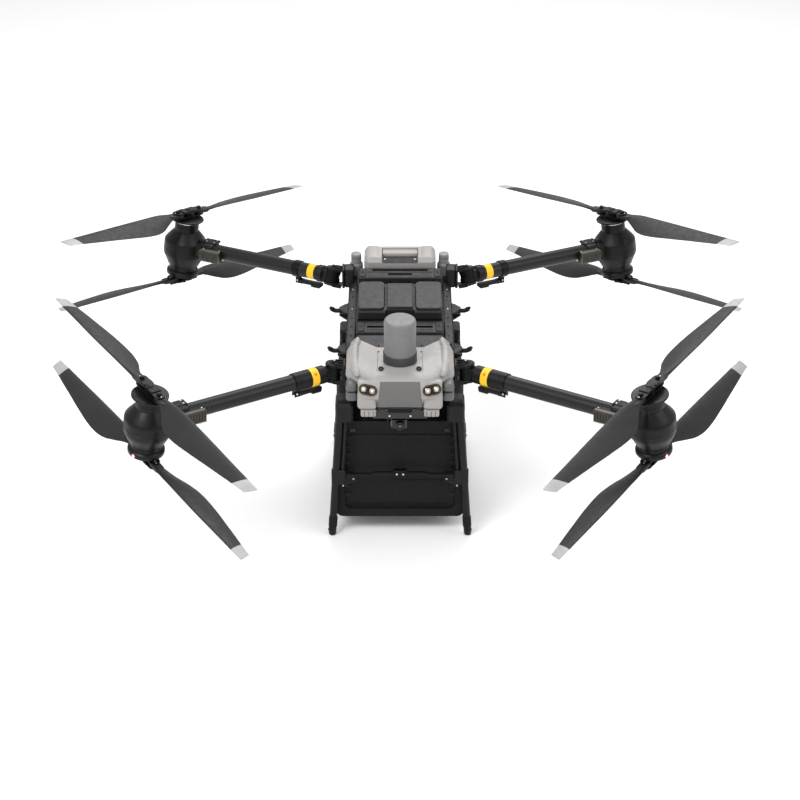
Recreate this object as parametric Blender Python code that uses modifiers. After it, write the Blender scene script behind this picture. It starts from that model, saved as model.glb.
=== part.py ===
"""Heavy-lift coaxial cargo drone: four folding arms, eight rotors with folding blades, a cargo case.

Everything is drawn for the drone's right-hand side and copied to the left by reflection in X.
Places are given as (side, forward, up): side is X, forward is towards the nose (-Y in the world),
and up is measured from the plane of the upper propeller hubs.
"""

import math

import bmesh
import bpy
from mathutils import Matrix, Vector

# ---- driving dimensions, metres ----
ROTOR_PLANE_HEIGHT = 0.8563
MIDDLE_FORWARD = 0.0199
GAP = 0.0003
WELD = 0.000002

MOTOR_SIDE = 0.875
MOTOR_FORWARD = 0.73
AXIS_LEAN_IN = 0.131
AXIS_LEAN_OUT = 0.073
ROTOR_SPACING = 0.286

BLADE_TIP_RADIUS = 0.668
BLADE_PIVOT_RADIUS = 0.058
TONGUE_HALF_THICKNESS = 0.0070
PIN_RADIUS = 0.0060
FRONT_BLADE_ANGLE = math.radians(53.0)
REAR_BLADE_ANGLE = math.radians(-47.3)

TUBE_RADIUS = 0.030
SLEEVE_RADIUS = 0.0345
SLEEVE_LENGTH = 0.150
KNUCKLE_RADIUS = 0.030
KNUCKLE_HALF_HEIGHT = 0.024

FRONT_ROOT = (-0.250, 0.300, -0.170)
REAR_ROOT = (-0.269, -0.385, -0.115)
FRONT_FOLD_AXIS = (0.1188, -0.1282, 1.0)
REAR_FOLD_AXIS = (0.1887, -0.2734, 1.0)

FRONT_SEAT = 0.2012
REAR_SEAT = 0.2200

RAIL_OUTER = 0.204
RAIL_INNER = 0.169
RAIL_TOP = -0.135
BELLY_TOP = -0.285
BELLY_BOTTOM = -0.300

CASE_TOP = -0.362
CASE_BOTTOM = -0.790
CASE_FRONT = 0.340
CASE_REAR = -0.300
CASE_HALF = 0.246
CASE_CORNER = 0.026
CASE_WALL = 0.016
CASE_FRONT_WALL = 0.032
CASE_REAR_WALL = 0.020
CASE_RECESS_DEPTH = 0.012
CASE_RECESS_INSET = 0.030
PIN_RADIUS = 0.0030
BATTERY_HALF_WIDTH = 0.166
GRIP_DEPTH = 0.026
GRIP_HALF_WIDTH = 0.009
LEG_WAIST_UP = -0.585
INNER_TUBE_OFFSET = 0.024
THIN_TUBE_RADIUS = 0.0075
CANISTER_FORWARD = 0.360
DOORWAY_HALF = 0.178
DOORWAY_HIGH = -0.410
DOORWAY_LOW = -0.762
DOOR_HALF = 0.190
DOOR_THICKNESS = 0.014
DOOR_AXIS_UP = -0.396
DOOR_AXIS_FORWARD = -0.3075

CAMERA_FORWARD = 0.4175
CAMERA_UP = -0.314
DECK_TOP = -0.101
DECK_LOW = -0.128

FRONT_LEG = ((-0.224, 0.362, -0.290), (-0.262, 0.362, -ROTOR_PLANE_HEIGHT))
REAR_LEG = ((-0.224, -0.338, -0.290), (-0.262, -0.338, -ROTOR_PLANE_HEIGHT))
LEG_RADIUS = 0.0145


# ---- scene and materials ----
def clear_scene():
    for old in list(bpy.data.objects):
        bpy.data.objects.remove(old)


def new_collection(name):
    made = bpy.data.collections.new(name)
    bpy.context.scene.collection.children.link(made)
    return made


def material(name, colour, roughness, metallic=0.0):
    made = bpy.data.materials.new(name)
    made.use_nodes = True
    shader = made.node_tree.nodes["Principled BSDF"]
    shader.inputs["Base Color"].default_value = (*colour, 1.0)
    shader.inputs["Roughness"].default_value = roughness
    shader.inputs["Metallic"].default_value = metallic
    return made


clear_scene()
PARTS = new_collection("cargo_drone")
TOOLS = new_collection("shaping_tools")

BLACK = (0.014, 0.014, 0.015)
DARK = (0.040, 0.041, 0.044)
WARM_GREY = (0.360, 0.345, 0.335)


# ---- placing ----
def place(side, forward, up):
    return Vector((side, MIDDLE_FORWARD - forward, ROTOR_PLANE_HEIGHT + up))


def direction(side, forward, up):
    return Vector((side, -forward, up)).normalized()


def frame_on(axis, facing, origin):
    """A matrix whose Z is the axis and whose X is as near to facing as it can be."""
    z = axis.normalized()
    x = (facing - z * facing.dot(z)).normalized()
    turn = Matrix((x, z.cross(x), z)).transposed().to_4x4()
    return Matrix.Translation(origin) @ turn


def rotor_axis(forward_sign):
    return direction(AXIS_LEAN_IN, AXIS_LEAN_OUT * forward_sign, 1.0)


# ---- shapes ----
def add_object(name, mesh, collection=None):
    made = bpy.data.objects.new(name, mesh)
    (collection or TOOLS).objects.link(made)
    if collection is None:
        made.hide_render = True
        made.display_type = "WIRE"
    return made


def mesh_from(name, shape):
    bmesh.ops.recalc_face_normals(shape, faces=shape.faces)
    if shape.calc_volume(signed=True) < 0.0:
        bmesh.ops.reverse_faces(shape, faces=shape.faces)
    mesh = bpy.data.meshes.new(name)
    shape.to_mesh(mesh)
    shape.free()
    return mesh


def block(name, low, high, bevel=0.0, matrix=None):
    """A box between two corners, with all its edges bevelled."""
    low, high = Vector(low), Vector(high)
    shape = bmesh.new()
    bmesh.ops.create_cube(shape, size=1.0)
    bmesh.ops.scale(shape, vec=high - low, verts=shape.verts)
    if bevel:
        bmesh.ops.bevel(shape, geom=shape.edges[:], offset=bevel, segments=1, affect="EDGES")
    bmesh.ops.translate(shape, vec=(low + high) / 2, verts=shape.verts)
    if matrix:
        shape.transform(matrix)
    return add_object(name, mesh_from(name, shape))


def placed_block(name, low, high, bevel=0.0):
    """The same between two (side, forward, up) corners."""
    a, b = place(*low), place(*high)
    low = [min(p, q) for p, q in zip(a, b)]
    high = [max(p, q) for p, q in zip(a, b)]
    return block(name, low, high, bevel)


def rod(name, start, end, radius, sides=16, end_radius=None):
    """A round bar or cone between two world points."""
    along = end - start
    shape = bmesh.new()
    bmesh.ops.create_cone(
        shape, cap_ends=True, segments=sides, radius1=radius,
        radius2=radius if end_radius is None else end_radius, depth=along.length,
    )
    turn = along.to_track_quat("Z", "Y").to_matrix().to_4x4()
    shape.transform(Matrix.Translation((start + end) / 2) @ turn)
    return add_object(name, mesh_from(name, shape))


def turned(name, profile, frame, steps):
    """A body of revolution about its frame's Z, from a profile of (radius, height) top to bottom."""
    mesh = bpy.data.meshes.new(name)
    edges = [(i, i + 1) for i in range(len(profile) - 1)]
    mesh.from_pydata([(radius, 0.0, height) for radius, height in profile], edges, [])
    made = add_object(name, mesh)
    made.matrix_world = frame
    screw = made.modifiers.new("turn", "SCREW")
    screw.steps = steps
    screw.render_steps = steps
    screw.use_merge_vertices = True
    screw.merge_threshold = 0.00005
    screw.use_smooth_shade = True
    return baked(made, name)


def bent_tube(name, points, radius):
    """A round tube along world points, as a closed mesh."""
    curve = bpy.data.curves.new(name, "CURVE")
    curve.dimensions = "3D"
    curve.bevel_depth = radius
    curve.bevel_resolution = 2
    curve.use_fill_caps = True
    line = curve.splines.new("POLY")
    line.points.add(len(points) - 1)
    for spot, point in zip(line.points, points):
        spot.co = (*point, 1.0)
    return baked(add_object(name, curve), name)


def slab(name, outline, half_thickness, frame):
    """A flat plate with its outline in the frame's XY plane."""
    shape = bmesh.new()
    ring = [shape.verts.new((x, y, -half_thickness)) for x, y in outline]
    face = shape.faces.new(ring)
    raised = bmesh.ops.extrude_face_region(shape, geom=[face])
    top = [item for item in raised["geom"] if isinstance(item, bmesh.types.BMVert)]
    bmesh.ops.translate(shape, vec=(0.0, 0.0, 2 * half_thickness), verts=top)
    shape.transform(frame)
    return add_object(name, mesh_from(name, shape))


def loft(name, rings, frame=None):
    """A closed skin over rings with the same number of points, with flat ends."""
    shape = bmesh.new()
    rows = [[shape.verts.new(point) for point in ring] for ring in rings]
    count = len(rows[0])
    for near, far in zip(rows, rows[1:]):
        for i in range(count):
            j = (i + 1) % count
            shape.faces.new((near[i], near[j], far[j], far[i]))
    shape.faces.new(rows[0])
    shape.faces.new(rows[-1])
    if frame:
        shape.transform(frame)
    return add_object(name, mesh_from(name, shape))


def stadium(half_length, half_width, turns=5):
    """The outline of a bar with round ends, along X."""
    points = []
    for end in (1, -1):
        for i in range(turns + 1):
            angle = end * math.pi / 2 * (2 * i / turns - 1) if end > 0 else math.pi / 2 + math.pi * i / turns
            middle = end * (half_length - half_width)
            points.append((middle + half_width * math.cos(angle), half_width * math.sin(angle)))
    return points


# ---- joining, cutting and finishing ----
def baked(obj, name):
    """The object as its modifiers leave it, as a plain mesh in world coordinates."""
    bpy.context.view_layer.update()
    seen = obj.evaluated_get(bpy.context.evaluated_depsgraph_get())
    mesh = bpy.data.meshes.new_from_object(seen)
    mesh.transform(obj.matrix_world)
    shape = bmesh.new()
    shape.from_mesh(mesh)
    bmesh.ops.remove_doubles(shape, verts=shape.verts, dist=WELD)
    bpy.data.objects.remove(obj)
    return add_object(name, mesh_from(name, shape))


def boolean(obj, tool, operation, solver="EXACT"):
    step = obj.modifiers.new(tool.name, "BOOLEAN")
    step.operation = operation
    step.solver = solver
    step.object = tool


def fuse(base, *others, solver="EXACT"):
    for other in others:
        boolean(base, other, "UNION", solver)
    return base


def cut(base, *tools):
    for tool in tools:
        boolean(base, tool, "DIFFERENCE")
    return base


def finish(name, shape, coat, origin=None, smooth=False):
    """Bakes a shape into the parts collection as one named object, with its origin where asked."""
    solid = baked(shape, name)
    mesh = solid.data
    TOOLS.objects.unlink(solid)
    PARTS.objects.link(solid)
    solid.name = name
    solid.hide_render = False
    solid.display_type = "TEXTURED"
    mesh.materials.append(coat)
    if smooth:
        mesh.shade_smooth()
        mesh.set_sharp_from_angle(angle=math.radians(35))
    if origin is not None:
        mesh.transform(Matrix.Translation(-origin))
        solid.location = origin
    return solid


def reflected(solid, name, coat):
    """The left-hand copy of a right-hand part."""
    shape = bmesh.new()
    shape.from_mesh(solid.data)
    shape.transform(Matrix.Diagonal((-1.0, 1.0, 1.0, 1.0)))
    bmesh.ops.reverse_faces(shape, faces=shape.faces)
    mesh = bpy.data.meshes.new(name)
    shape.to_mesh(mesh)
    shape.free()
    copy = add_object(name, mesh, PARTS)
    copy.location = Vector((-solid.location.x, solid.location.y, solid.location.z))
    mesh.materials.clear()
    mesh.materials.append(coat)
    return copy


def both_sides(kind, make, colour, roughness, metallic=0.0, smooth=False, origin=None):
    """Makes KIND_right from a shape and KIND_left as its reflection."""
    right = f"{kind}_right"
    left = f"{kind}_left"
    solid = finish(right, make, material(right, colour, roughness, metallic), origin, smooth)
    reflected(solid, left, material(left, colour, roughness, metallic))


# ---- rotors ----
def blade_stations():
    """(distance out, chord, share of it ahead of the pitch line, pitch in degrees, thickness)."""
    return (
        (0.100, 0.042, 0.46, 10.0, 0.013),
        (0.135, 0.064, 0.38, 20.0, 0.012),
        (0.185, 0.094, 0.28, 21.0, 0.011),
        (0.250, 0.105, 0.25, 18.0, 0.010),
        (0.360, 0.094, 0.27, 14.0, 0.008),
        (0.500, 0.070, 0.32, 11.0, 0.006),
        (0.600, 0.054, 0.38, 9.0, 0.005),
    )


def blade_ring(distance, chord, ahead, pitch, thickness, hand, sweep=0.0):
    """A six-point wing section across the blade; hand is +1 where the trailing edge is at +Y."""
    lean = math.radians(pitch)
    points = []
    for share, height in ((0.0, 0.0), (0.3, 0.62), (0.7, 0.45), (1.0, 0.0), (0.7, -0.2), (0.3, -0.38)):
        across = (share - ahead) * chord
        rise = height * thickness
        y = hand * (across * math.cos(lean) + rise * math.sin(lean))
        z = rise * math.cos(lean) - across * math.sin(lean)
        points.append((distance + sweep * across, y, z))
    return points


def blade_shape(name, frame, hand):
    """A folding blade along the frame's X: flat root tongue with a pin hole, then a twisted wing."""
    rings = [blade_ring(*station, hand) for station in blade_stations()]
    tip = (BLADE_TIP_RADIUS - 0.008, 0.044, 0.42, 8.0, 0.004)
    rings.append(blade_ring(*tip, hand, sweep=-0.35))
    wing = loft(name, rings, frame)
    tongue_end = 0.118
    middle = (BLADE_PIVOT_RADIUS - 0.017 + tongue_end) / 2
    outline = [(middle + x, y) for x, y in stadium(tongue_end - middle, 0.017, 3)]
    tongue = slab(name + "_tongue", outline, TONGUE_HALF_THICKNESS, frame)
    spots = [frame @ Vector((BLADE_PIVOT_RADIUS, 0.0, z)) for z in (-0.02, 0.02)]
    hole = rod(name + "_hole", spots[0], spots[1], PIN_RADIUS + 0.0007, 8)
    return cut(fuse(wing, tongue), hole)


def hub_shape(name, frame):
    """A hub with two clamp plates, a centre boss and a bolt through each blade root."""
    plate_half = 0.0025
    plate_level = TONGUE_HALF_THICKNESS + GAP + plate_half
    outline = stadium(BLADE_PIVOT_RADIUS + 0.021, 0.021, 3)
    pieces = []
    for sign in (-1, 1):
        level = frame @ Matrix.Translation((0.0, 0.0, sign * plate_level))
        pieces.append(slab(f"{name}_plate{sign}", outline, plate_half, level))
    boss_ends = [frame @ Vector((0.0, 0.0, z)) for z in (-0.0195, 0.0165)]
    boss = rod(name, boss_ends[0], boss_ends[1], 0.0185, 12)
    for side in (-1, 1):
        low, high = (frame @ Vector((side * BLADE_PIVOT_RADIUS, 0.0, z)) for z in (-0.0105, 0.0165))
        pieces.append(rod(f"{name}_bolt{side}", low, high, PIN_RADIUS, 8))
    return fuse(boss, *pieces)


def make_rotor(corner, level, forward_sign, bulge):
    """The hub and two blades of one propeller; bulge is the hand of its trailing edges."""
    drop = 0.0 if level == "upper" else ROTOR_SPACING
    axis = rotor_axis(forward_sign)
    centre = place(-MOTOR_SIDE, forward_sign * MOTOR_FORWARD, 0.0) - axis * drop
    angle = FRONT_BLADE_ANGLE if forward_sign > 0 else REAR_BLADE_ANGLE
    facing = Vector((math.cos(angle), -math.sin(angle), 0.0))
    frame = frame_on(axis, facing, centre)
    kind = f"{level}_hub_{corner}"
    both_sides(kind, hub_shape(kind, frame), BLACK, 0.4, 0.6, True, centre)
    for letter, turn in (("a", 0.0), ("b", math.pi)):
        kind = f"{level}_blade_{letter}_{corner}"
        along = frame @ Matrix.Rotation(turn, 4, "Z")
        pivot = along @ Vector((BLADE_PIVOT_RADIUS, 0.0, 0.0))
        shape = blade_shape(kind, along, bulge)
        both_sides(kind, shape, (0.035, 0.036, 0.038), 0.42, 0.0, True, pivot)


# ---- arms ----
def arm_middle(forward_sign):
    top = place(-MOTOR_SIDE, forward_sign * MOTOR_FORWARD, 0.0)
    return top - rotor_axis(forward_sign) * ROTOR_SPACING / 2


def motor_profile():
    top = -0.0198
    bottom = top - 0.2464
    return (
        (0.0, top), (0.067, top), (0.067, top - 0.008), (0.048, top - 0.014), (0.048, top - 0.050),
        (0.060, top - 0.066), (0.078, top - 0.090), (0.086, top - 0.122), (0.084, top - 0.152),
        (0.072, top - 0.186), (0.057, top - 0.212), (0.057, top - 0.226), (0.067, top - 0.232),
        (0.067, bottom), (0.0, bottom),
    )


def motor_shape(corner, forward_sign, arm_frame, length):
    """The lantern-shaped housing of a pair of motors, bored for the arm's end."""
    axis = rotor_axis(forward_sign)
    facing = arm_frame.to_3x3() @ Vector((-1.0, 0.0, 0.0))
    top = place(-MOTOR_SIDE, forward_sign * MOTOR_FORWARD, 0.0)
    housing = turned(f"motor_{corner}", motor_profile(), frame_on(axis, facing, top), 20)
    inner = arm_frame @ Vector((length - 0.0505, 0.0, 0.0))
    outer = arm_frame @ Vector((length - 0.2, 0.0, 0.0))
    bore = rod(f"motor_bore_{corner}", inner, outer, TUBE_RADIUS + 0.0008, 16)
    return cut(housing, bore)


def arm_shape(corner, arm_frame, hinge_frame, length):
    """A tube with its root sleeve, hinge knuckle, motor clamp, speed controller and latch lug."""
    def on(x, y, z):
        return arm_frame @ Vector((x, y, z))

    name = f"arm_{corner}"
    reach = KNUCKLE_RADIUS + 0.012
    tube = rod(name, on(0.19, 0, 0), on(length - 0.051, 0, 0), TUBE_RADIUS, 16)
    sleeve = rod(name + "_sleeve", on(reach, 0, 0), on(reach + SLEEVE_LENGTH + 0.02, 0, 0), SLEEVE_RADIUS, 16)
    neck_frame = frame_on(hinge_frame.col[2].to_3d(), arm_frame.col[0].to_3d(), arm_frame.translation)
    neck = block(name + "_neck", (0.0, -0.022, -0.019), (reach + 0.02, 0.022, 0.019), 0.003, neck_frame)
    ends = [hinge_frame @ Vector((0.0, 0.0, z * KNUCKLE_HALF_HEIGHT)) for z in (-1, 1)]
    knuckle = rod(name + "_knuckle", ends[0], ends[1], KNUCKLE_RADIUS, 16)
    far = length - 0.098
    clamp = block(name + "_clamp", (far - 0.055, -0.034, -0.034), (far, 0.034, 0.036), 0.006, arm_frame)
    controller = block(
        name + "_controller", (far - 0.105, 0.030, -0.024), (far - 0.012, 0.066, 0.026), 0.004, arm_frame
    )
    lug = block(name + "_lug", (0.150, -0.007, -0.052), (0.174, 0.007, -0.030), 0.002, arm_frame)
    pin_hole = [hinge_frame @ Vector((0.0, 0.0, z)) for z in (-0.05, 0.05)]
    hole = rod(name + "_hole", pin_hole[0], pin_hole[1], 0.0085 + 0.0007, 10)
    return cut(fuse(tube, sleeve, neck, knuckle, clamp, controller, lug), hole)


def bracket_shape(corner, hinge_frame, seat):
    """A clevis on the fuselage: two lugs, the upright web behind them and the hinge pin."""
    name = f"arm_bracket_{corner}"
    lugs = []
    for sign in (-1, 1):
        low, high = sorted((sign * (KNUCKLE_HALF_HEIGHT + GAP), sign * (KNUCKLE_HALF_HEIGHT + 0.012)))
        points = [hinge_frame @ Vector((0.0, 0.0, z)) for z in (low, high)]
        lugs.append(rod(f"{name}_lug{sign}", points[0], points[1], KNUCKLE_RADIUS + 0.002, 14))
        plate_low, plate_high = (0.0125, -0.028, low + 0.0006), (0.0410, 0.028, high - 0.0006)
        lugs.append(block(f"{name}_plate{sign}", plate_low, plate_high, 0.0, hinge_frame))
    root = hinge_frame.translation
    low = (root.x + 0.0375, root.y - 0.032, root.z - 0.042)
    web = block(name, low, (-seat - GAP, root.y + 0.032, root.z + 0.040), 0.003)
    ends = [hinge_frame @ Vector((0.0, 0.0, z)) for z in (-0.042, 0.042)]
    pin = rod(name + "_pin", ends[0], ends[1], 0.0085, 12)
    return fuse(web, *lugs, pin)


def lever_shape(corner, arm_frame):
    """A latch lever under the sleeve, forked round the arm's lug at its outer end."""
    name = f"latch_lever_{corner}"
    bar = block(name, (0.052, -0.011, -0.060), (0.172, 0.011, -0.044), 0.003, arm_frame)
    grip = block(name + "_grip", (0.056, -0.016, -0.064), (0.100, 0.016, -0.050), 0.004, arm_frame)
    slot = block(
        name + "_slot", (0.146, -0.007 - GAP, -0.070), (0.180, 0.007 + GAP, -0.030), 0.0, arm_frame
    )
    pin_ends = [arm_frame @ Vector((0.162, side * 0.014, -0.047)) for side in (-1, 1)]
    pin = rod(name + "_pin", pin_ends[0], pin_ends[1], 0.0035, 8)
    return fuse(cut(fuse(bar, grip), slot), pin)


def make_arm(corner, forward_sign, root_place, fold_axis, seat):
    root = place(*root_place)
    middle = arm_middle(forward_sign)
    along = middle - root
    length = along.length
    arm_frame = frame_along(along, root)
    hinge_frame = frame_on(direction(*fold_axis), Vector((1.0, 0.0, 0.0)), root)
    arm = arm_shape(corner, arm_frame, hinge_frame, length)
    lever = lever_shape(corner, arm_frame)
    pin_spot = arm_frame @ Vector((0.162, 0.0, -0.047))
    pin_hole = rod(
        f"lug_hole_{corner}", arm_frame @ Vector((0.162, -0.02, -0.047)),
        arm_frame @ Vector((0.162, 0.02, -0.047)), 0.0035 + 0.0007, 8,
    )
    cut(arm, pin_hole)
    both_sides(f"arm_{corner}", arm, BLACK, 0.35, 0.0, True, root)
    both_sides(f"latch_lever_{corner}", lever, BLACK, 0.45, 0.0, False, pin_spot)
    motor = motor_shape(corner, forward_sign, arm_frame, length)
    both_sides(f"motor_{corner}", motor, BLACK, 0.38, 0.2, True)
    both_sides(f"arm_bracket_{corner}", bracket_shape(corner, hinge_frame, seat), BLACK, 0.4, 0.5, False)


def frame_along(along, origin):
    """A frame with X along the arm and Z as near to up as it can be."""
    x = along.normalized()
    up = Vector((0.0, 0.0, 1.0))
    z = (up - x * up.dot(x)).normalized()
    turn = Matrix((x, z.cross(x), z)).transposed().to_4x4()
    return Matrix.Translation(origin) @ turn


# ---- fuselage ----
def frame_shape():
    """Belly tray, side rails, battery-bay walls, electronics box, arm lugs and arm rests."""
    belly = placed_block(
        "fuselage_frame", (-0.172, 0.300, BELLY_BOTTOM), (0.172, -0.475, BELLY_TOP), 0.003
    )
    pieces = []
    for side in (-1, 1):
        pieces.append(placed_block(
            f"rail{side}", (side * RAIL_INNER, 0.185, BELLY_BOTTOM + 0.002),
            (side * RAIL_OUTER, -0.4745, RAIL_TOP), 0.004,
        ))
        pieces += arm_rests(side)
        pieces.append(placed_block(
            f"front_lug{side}", (side * 0.120, 0.326, -0.205), (side * FRONT_SEAT, 0.274, -0.150), 0.003
        ))
        pieces.append(placed_block(
            f"rear_lug{side}", (side * 0.185, -0.356, -0.155), (side * REAR_SEAT, -0.414, -0.075), 0.003
        ))
    pieces.append(placed_block("front_box", (-0.150, 0.400, -0.235), (0.150, 0.165, -0.128), 0.004))
    pieces.append(placed_block("front_web", (-0.150, 0.300, -0.290), (0.150, 0.165, -0.230), 0.004))
    pieces.append(placed_block("middle_box", (-0.171, 0.030, -0.290), (0.171, -0.225, -0.1050), 0.004))
    pieces.append(placed_block("rear_wall", (-0.171, -0.352, -0.290), (0.171, -0.366, -0.142), 0.002))
    return fuse(belly, *pieces, solver="MANIFOLD")


def arm_rests(side):
    """Two ribbed brackets on a rail, each with a hook that a folded arm's tube lies against."""
    made = []
    for forward, up in ((0.120, -0.180), (-0.150, -0.150)):
        made.append(placed_block(
            f"rest{side}{forward}", (side * 0.200, forward + 0.016, up - 0.030),
            (side * 0.216, forward - 0.016, up + 0.007), 0.003,
        ))
        spots = ((0.210, 0.0), (0.262, 0.0), (0.268, 0.004), (0.272, 0.016))
        points = [place(side * x, forward, up + lift) for x, lift in spots]
        made.append(bent_tube(f"hook{side}{forward}", points, 0.0065))
    return made


def half_ring(half_width, front, back, up, corner):
    """Half an outline at one height, from the middle of the front to the middle of the back."""
    return [
        place(0.0, front, up), place(-half_width * 0.45, front, up),
        place(-half_width + corner * 0.9, front - corner * 0.35, up),
        place(-half_width, front - corner * 1.3, up), place(-half_width, back, up), place(0.0, back, up),
    ]


def full_ring(*sizes):
    half = half_ring(*sizes)
    other = [Vector((-point.x, point.y, point.z)) for point in half[1:-1]]
    return half + other[::-1]


def nose_shape():
    """The nose shell with its horns, pocketed for the frame, deck, lamps and radar cover."""
    rings = [
        full_ring(0.116, 0.462, 0.250, -0.252, 0.030),
        full_ring(0.146, 0.500, 0.225, -0.205, 0.050),
        full_ring(0.180, 0.518, 0.200, -0.158, 0.070),
        full_ring(0.200, 0.506, 0.150, -0.124, 0.075),
        full_ring(0.198, 0.486, 0.150, -0.100, 0.075),
        full_ring(0.184, 0.455, 0.160, -0.088, 0.070),
    ]
    shell = loft("nose_shell", rings)
    horns = [
        placed_block(f"horn{side}", (side * 0.148, 0.245, -0.110), (side * 0.190, 0.176, -0.079), 0.007)
        for side in (-1, 1)
    ]
    fuse(shell, *horns)
    pocket = placed_block("nose_pocket", (-0.1503, 0.4003, -0.30), (0.1503, 0.10, DECK_LOW))
    behind = placed_block("rear_pocket", (-0.1583, 0.1900, -0.30), (0.1583, 0.10, -0.05))
    rail_room = [
        placed_block(f"rail_room{side}", (side * 0.1583, 0.1853, -0.30), (side * 0.25, 0.10, RAIL_TOP + GAP))
        for side in (-1, 1)
    ]
    deck = deck_plate("deck_pocket", GAP, -0.140, 0.0)
    radar = placed_block("radar_pocket", (-0.0853, 0.60, -0.30), (0.0853, 0.4347, -0.2047))
    notches = [
        placed_block(f"lug_notch{side}", (side * 0.10, 0.3263, -0.2053), (side * 0.25, 0.10, -0.1497))
        for side in (-1, 1)
    ]
    lamps = [lamp_body(f"lamp_pocket{side}", side, GAP, 0.060) for side in (-1, 1)]
    return cut(shell, pocket, behind, deck, radar, *rail_room, *notches, *lamps)


def lamp_body(name, side, swell, depth):
    """A capsule-shaped twin headlamp, sloping down towards the middle."""
    slope = math.radians(12.0) * side
    centre = place(side * 0.116, 0.487, -0.131)
    turn = Matrix.Rotation(math.pi / 2, 4, "X")
    frame = Matrix.Translation(centre) @ Matrix.Rotation(-slope, 4, "Y") @ turn
    outline = stadium(0.032 + swell, 0.0175 + swell)
    return slab(name, outline, depth / 2, frame)


def canister_shape():
    top, base = 0.082, -0.0874
    profile = (
        (0.0, top), (0.052, top), (0.057, top - 0.004), (0.059, top - 0.011), (0.059, base + 0.036),
        (0.0625, base + 0.034), (0.0625, base), (0.0, base),
    )
    return turned("parachute_canister", profile, Matrix.Translation(place(0.0, CANISTER_FORWARD, 0.0)), 28)


def cover_shape():
    """The middle cover with three raised panels and a notch in its front edge."""
    plate = placed_block("centre_cover", (-0.165, 0.020, -0.1045), (0.165, -0.218, -0.064), 0.006)
    panels = []
    for middle in (-0.104, 0.0, 0.104):
        low = (middle - 0.045, -0.020, -0.070)
        panels.append(placed_block(f"panel{middle}", low, (middle + 0.045, -0.185, -0.056), 0.005))
    notch = placed_block("cover_notch", (-0.055, 0.10, -0.12), (0.055, 0.005, -0.05))
    return cut(fuse(plate, *panels), notch)


def battery_shape(name, front, back, top, grips):
    """A battery pack with its grip slots in a rounded top."""
    half_width = BATTERY_HALF_WIDTH
    pack = placed_block(name, (-half_width, front, BELLY_TOP + GAP), (half_width, back, top), 0.008)
    middle = (front + back) / 2
    slots = []
    for index, (reach, at) in enumerate(grips):
        low = (-reach, middle + at + GRIP_HALF_WIDTH, top - GRIP_DEPTH)
        high = (reach, middle + at - GRIP_HALF_WIDTH, 0.2)
        slots.append(placed_block(f"{name}_grip{index}", low, high))
    return cut(pack, *slots)


def rear_shell_shape():
    """The pale tail shell with a recessed middle."""
    shell = placed_block("rear_shell", (-0.143, -0.3665, BELLY_TOP + GAP), (0.143, -0.500, -0.032), 0.016)
    recess = placed_block("tail_recess", (-0.072, -0.340, -0.052), (0.072, -0.470, 0.1))
    return cut(shell, recess)


def antenna_shape():
    top, base = -0.044, RAIL_TOP + GAP
    profile = (
        (0.0, top), (0.017, top), (0.0215, top - 0.005), (0.0215, base + 0.026), (0.0270, base + 0.018),
        (0.0270, base), (0.0, base),
    )
    return turned("antenna", profile, Matrix.Translation(place(-0.176, -0.446, 0.0)), 16)


def yoke_shape():
    """The gimbal's panning yoke: a round base and one side arm with the tilt axle."""
    forward = CAMERA_FORWARD
    base = rod("gimbal_yoke", place(-0.005, forward, -0.2745), place(-0.005, forward, -0.2525), 0.0155, 16)
    bridge = placed_block(
        "yoke_bridge", (-0.048, forward + 0.014, -0.2815), (0.018, forward - 0.014, -0.270), 0.003
    )
    low = (-0.048, forward + 0.014, -0.330)
    arm = placed_block("yoke_arm", low, (-0.038, forward - 0.014, -0.272), 0.003)
    axle_ends = [place(side, forward, CAMERA_UP) for side in (-0.040, -0.029)]
    axle = rod("yoke_axle", axle_ends[0], axle_ends[1], 0.0060, 12)
    return fuse(base, bridge, arm, axle)


def camera_shape():
    """The camera head with its lens barrel."""
    forward = CAMERA_FORWARD
    head = placed_block(
        "gimbal_camera", (-0.0335, forward + 0.026, -0.3375), (0.026, forward - 0.024, -0.2905), 0.006
    )
    barrel_ends = [place(0.0, forward + reach, CAMERA_UP) for reach in (0.020, 0.042)]
    barrel = rod("lens_barrel", barrel_ends[0], barrel_ends[1], 0.0165, 16)
    socket_ends = [place(side, forward, CAMERA_UP) for side in (-0.050, -0.0272)]
    socket = rod("axle_socket", socket_ends[0], socket_ends[1], 0.0066, 12)
    return cut(fuse(head, barrel), socket)


# ---- cargo case and landing gear ----
def case_ring(forward, swell):
    """A rounded rectangle across the case at one distance forward."""
    half, corner = CASE_HALF + swell, CASE_CORNER
    top, bottom = CASE_TOP + swell, CASE_BOTTOM - swell
    points = []
    for side, up, start in ((1, top, 0), (-1, top, 90), (-1, bottom, 180), (1, bottom, 270)):
        middle_side = side * (half - corner)
        middle_up = up - corner if up == top else up + corner
        for step in range(4):
            angle = math.radians(start + 30 * step)
            point_side = middle_side + corner * math.cos(angle)
            points.append(place(point_side, forward, middle_up + corner * math.sin(angle)))
    return points


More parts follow.
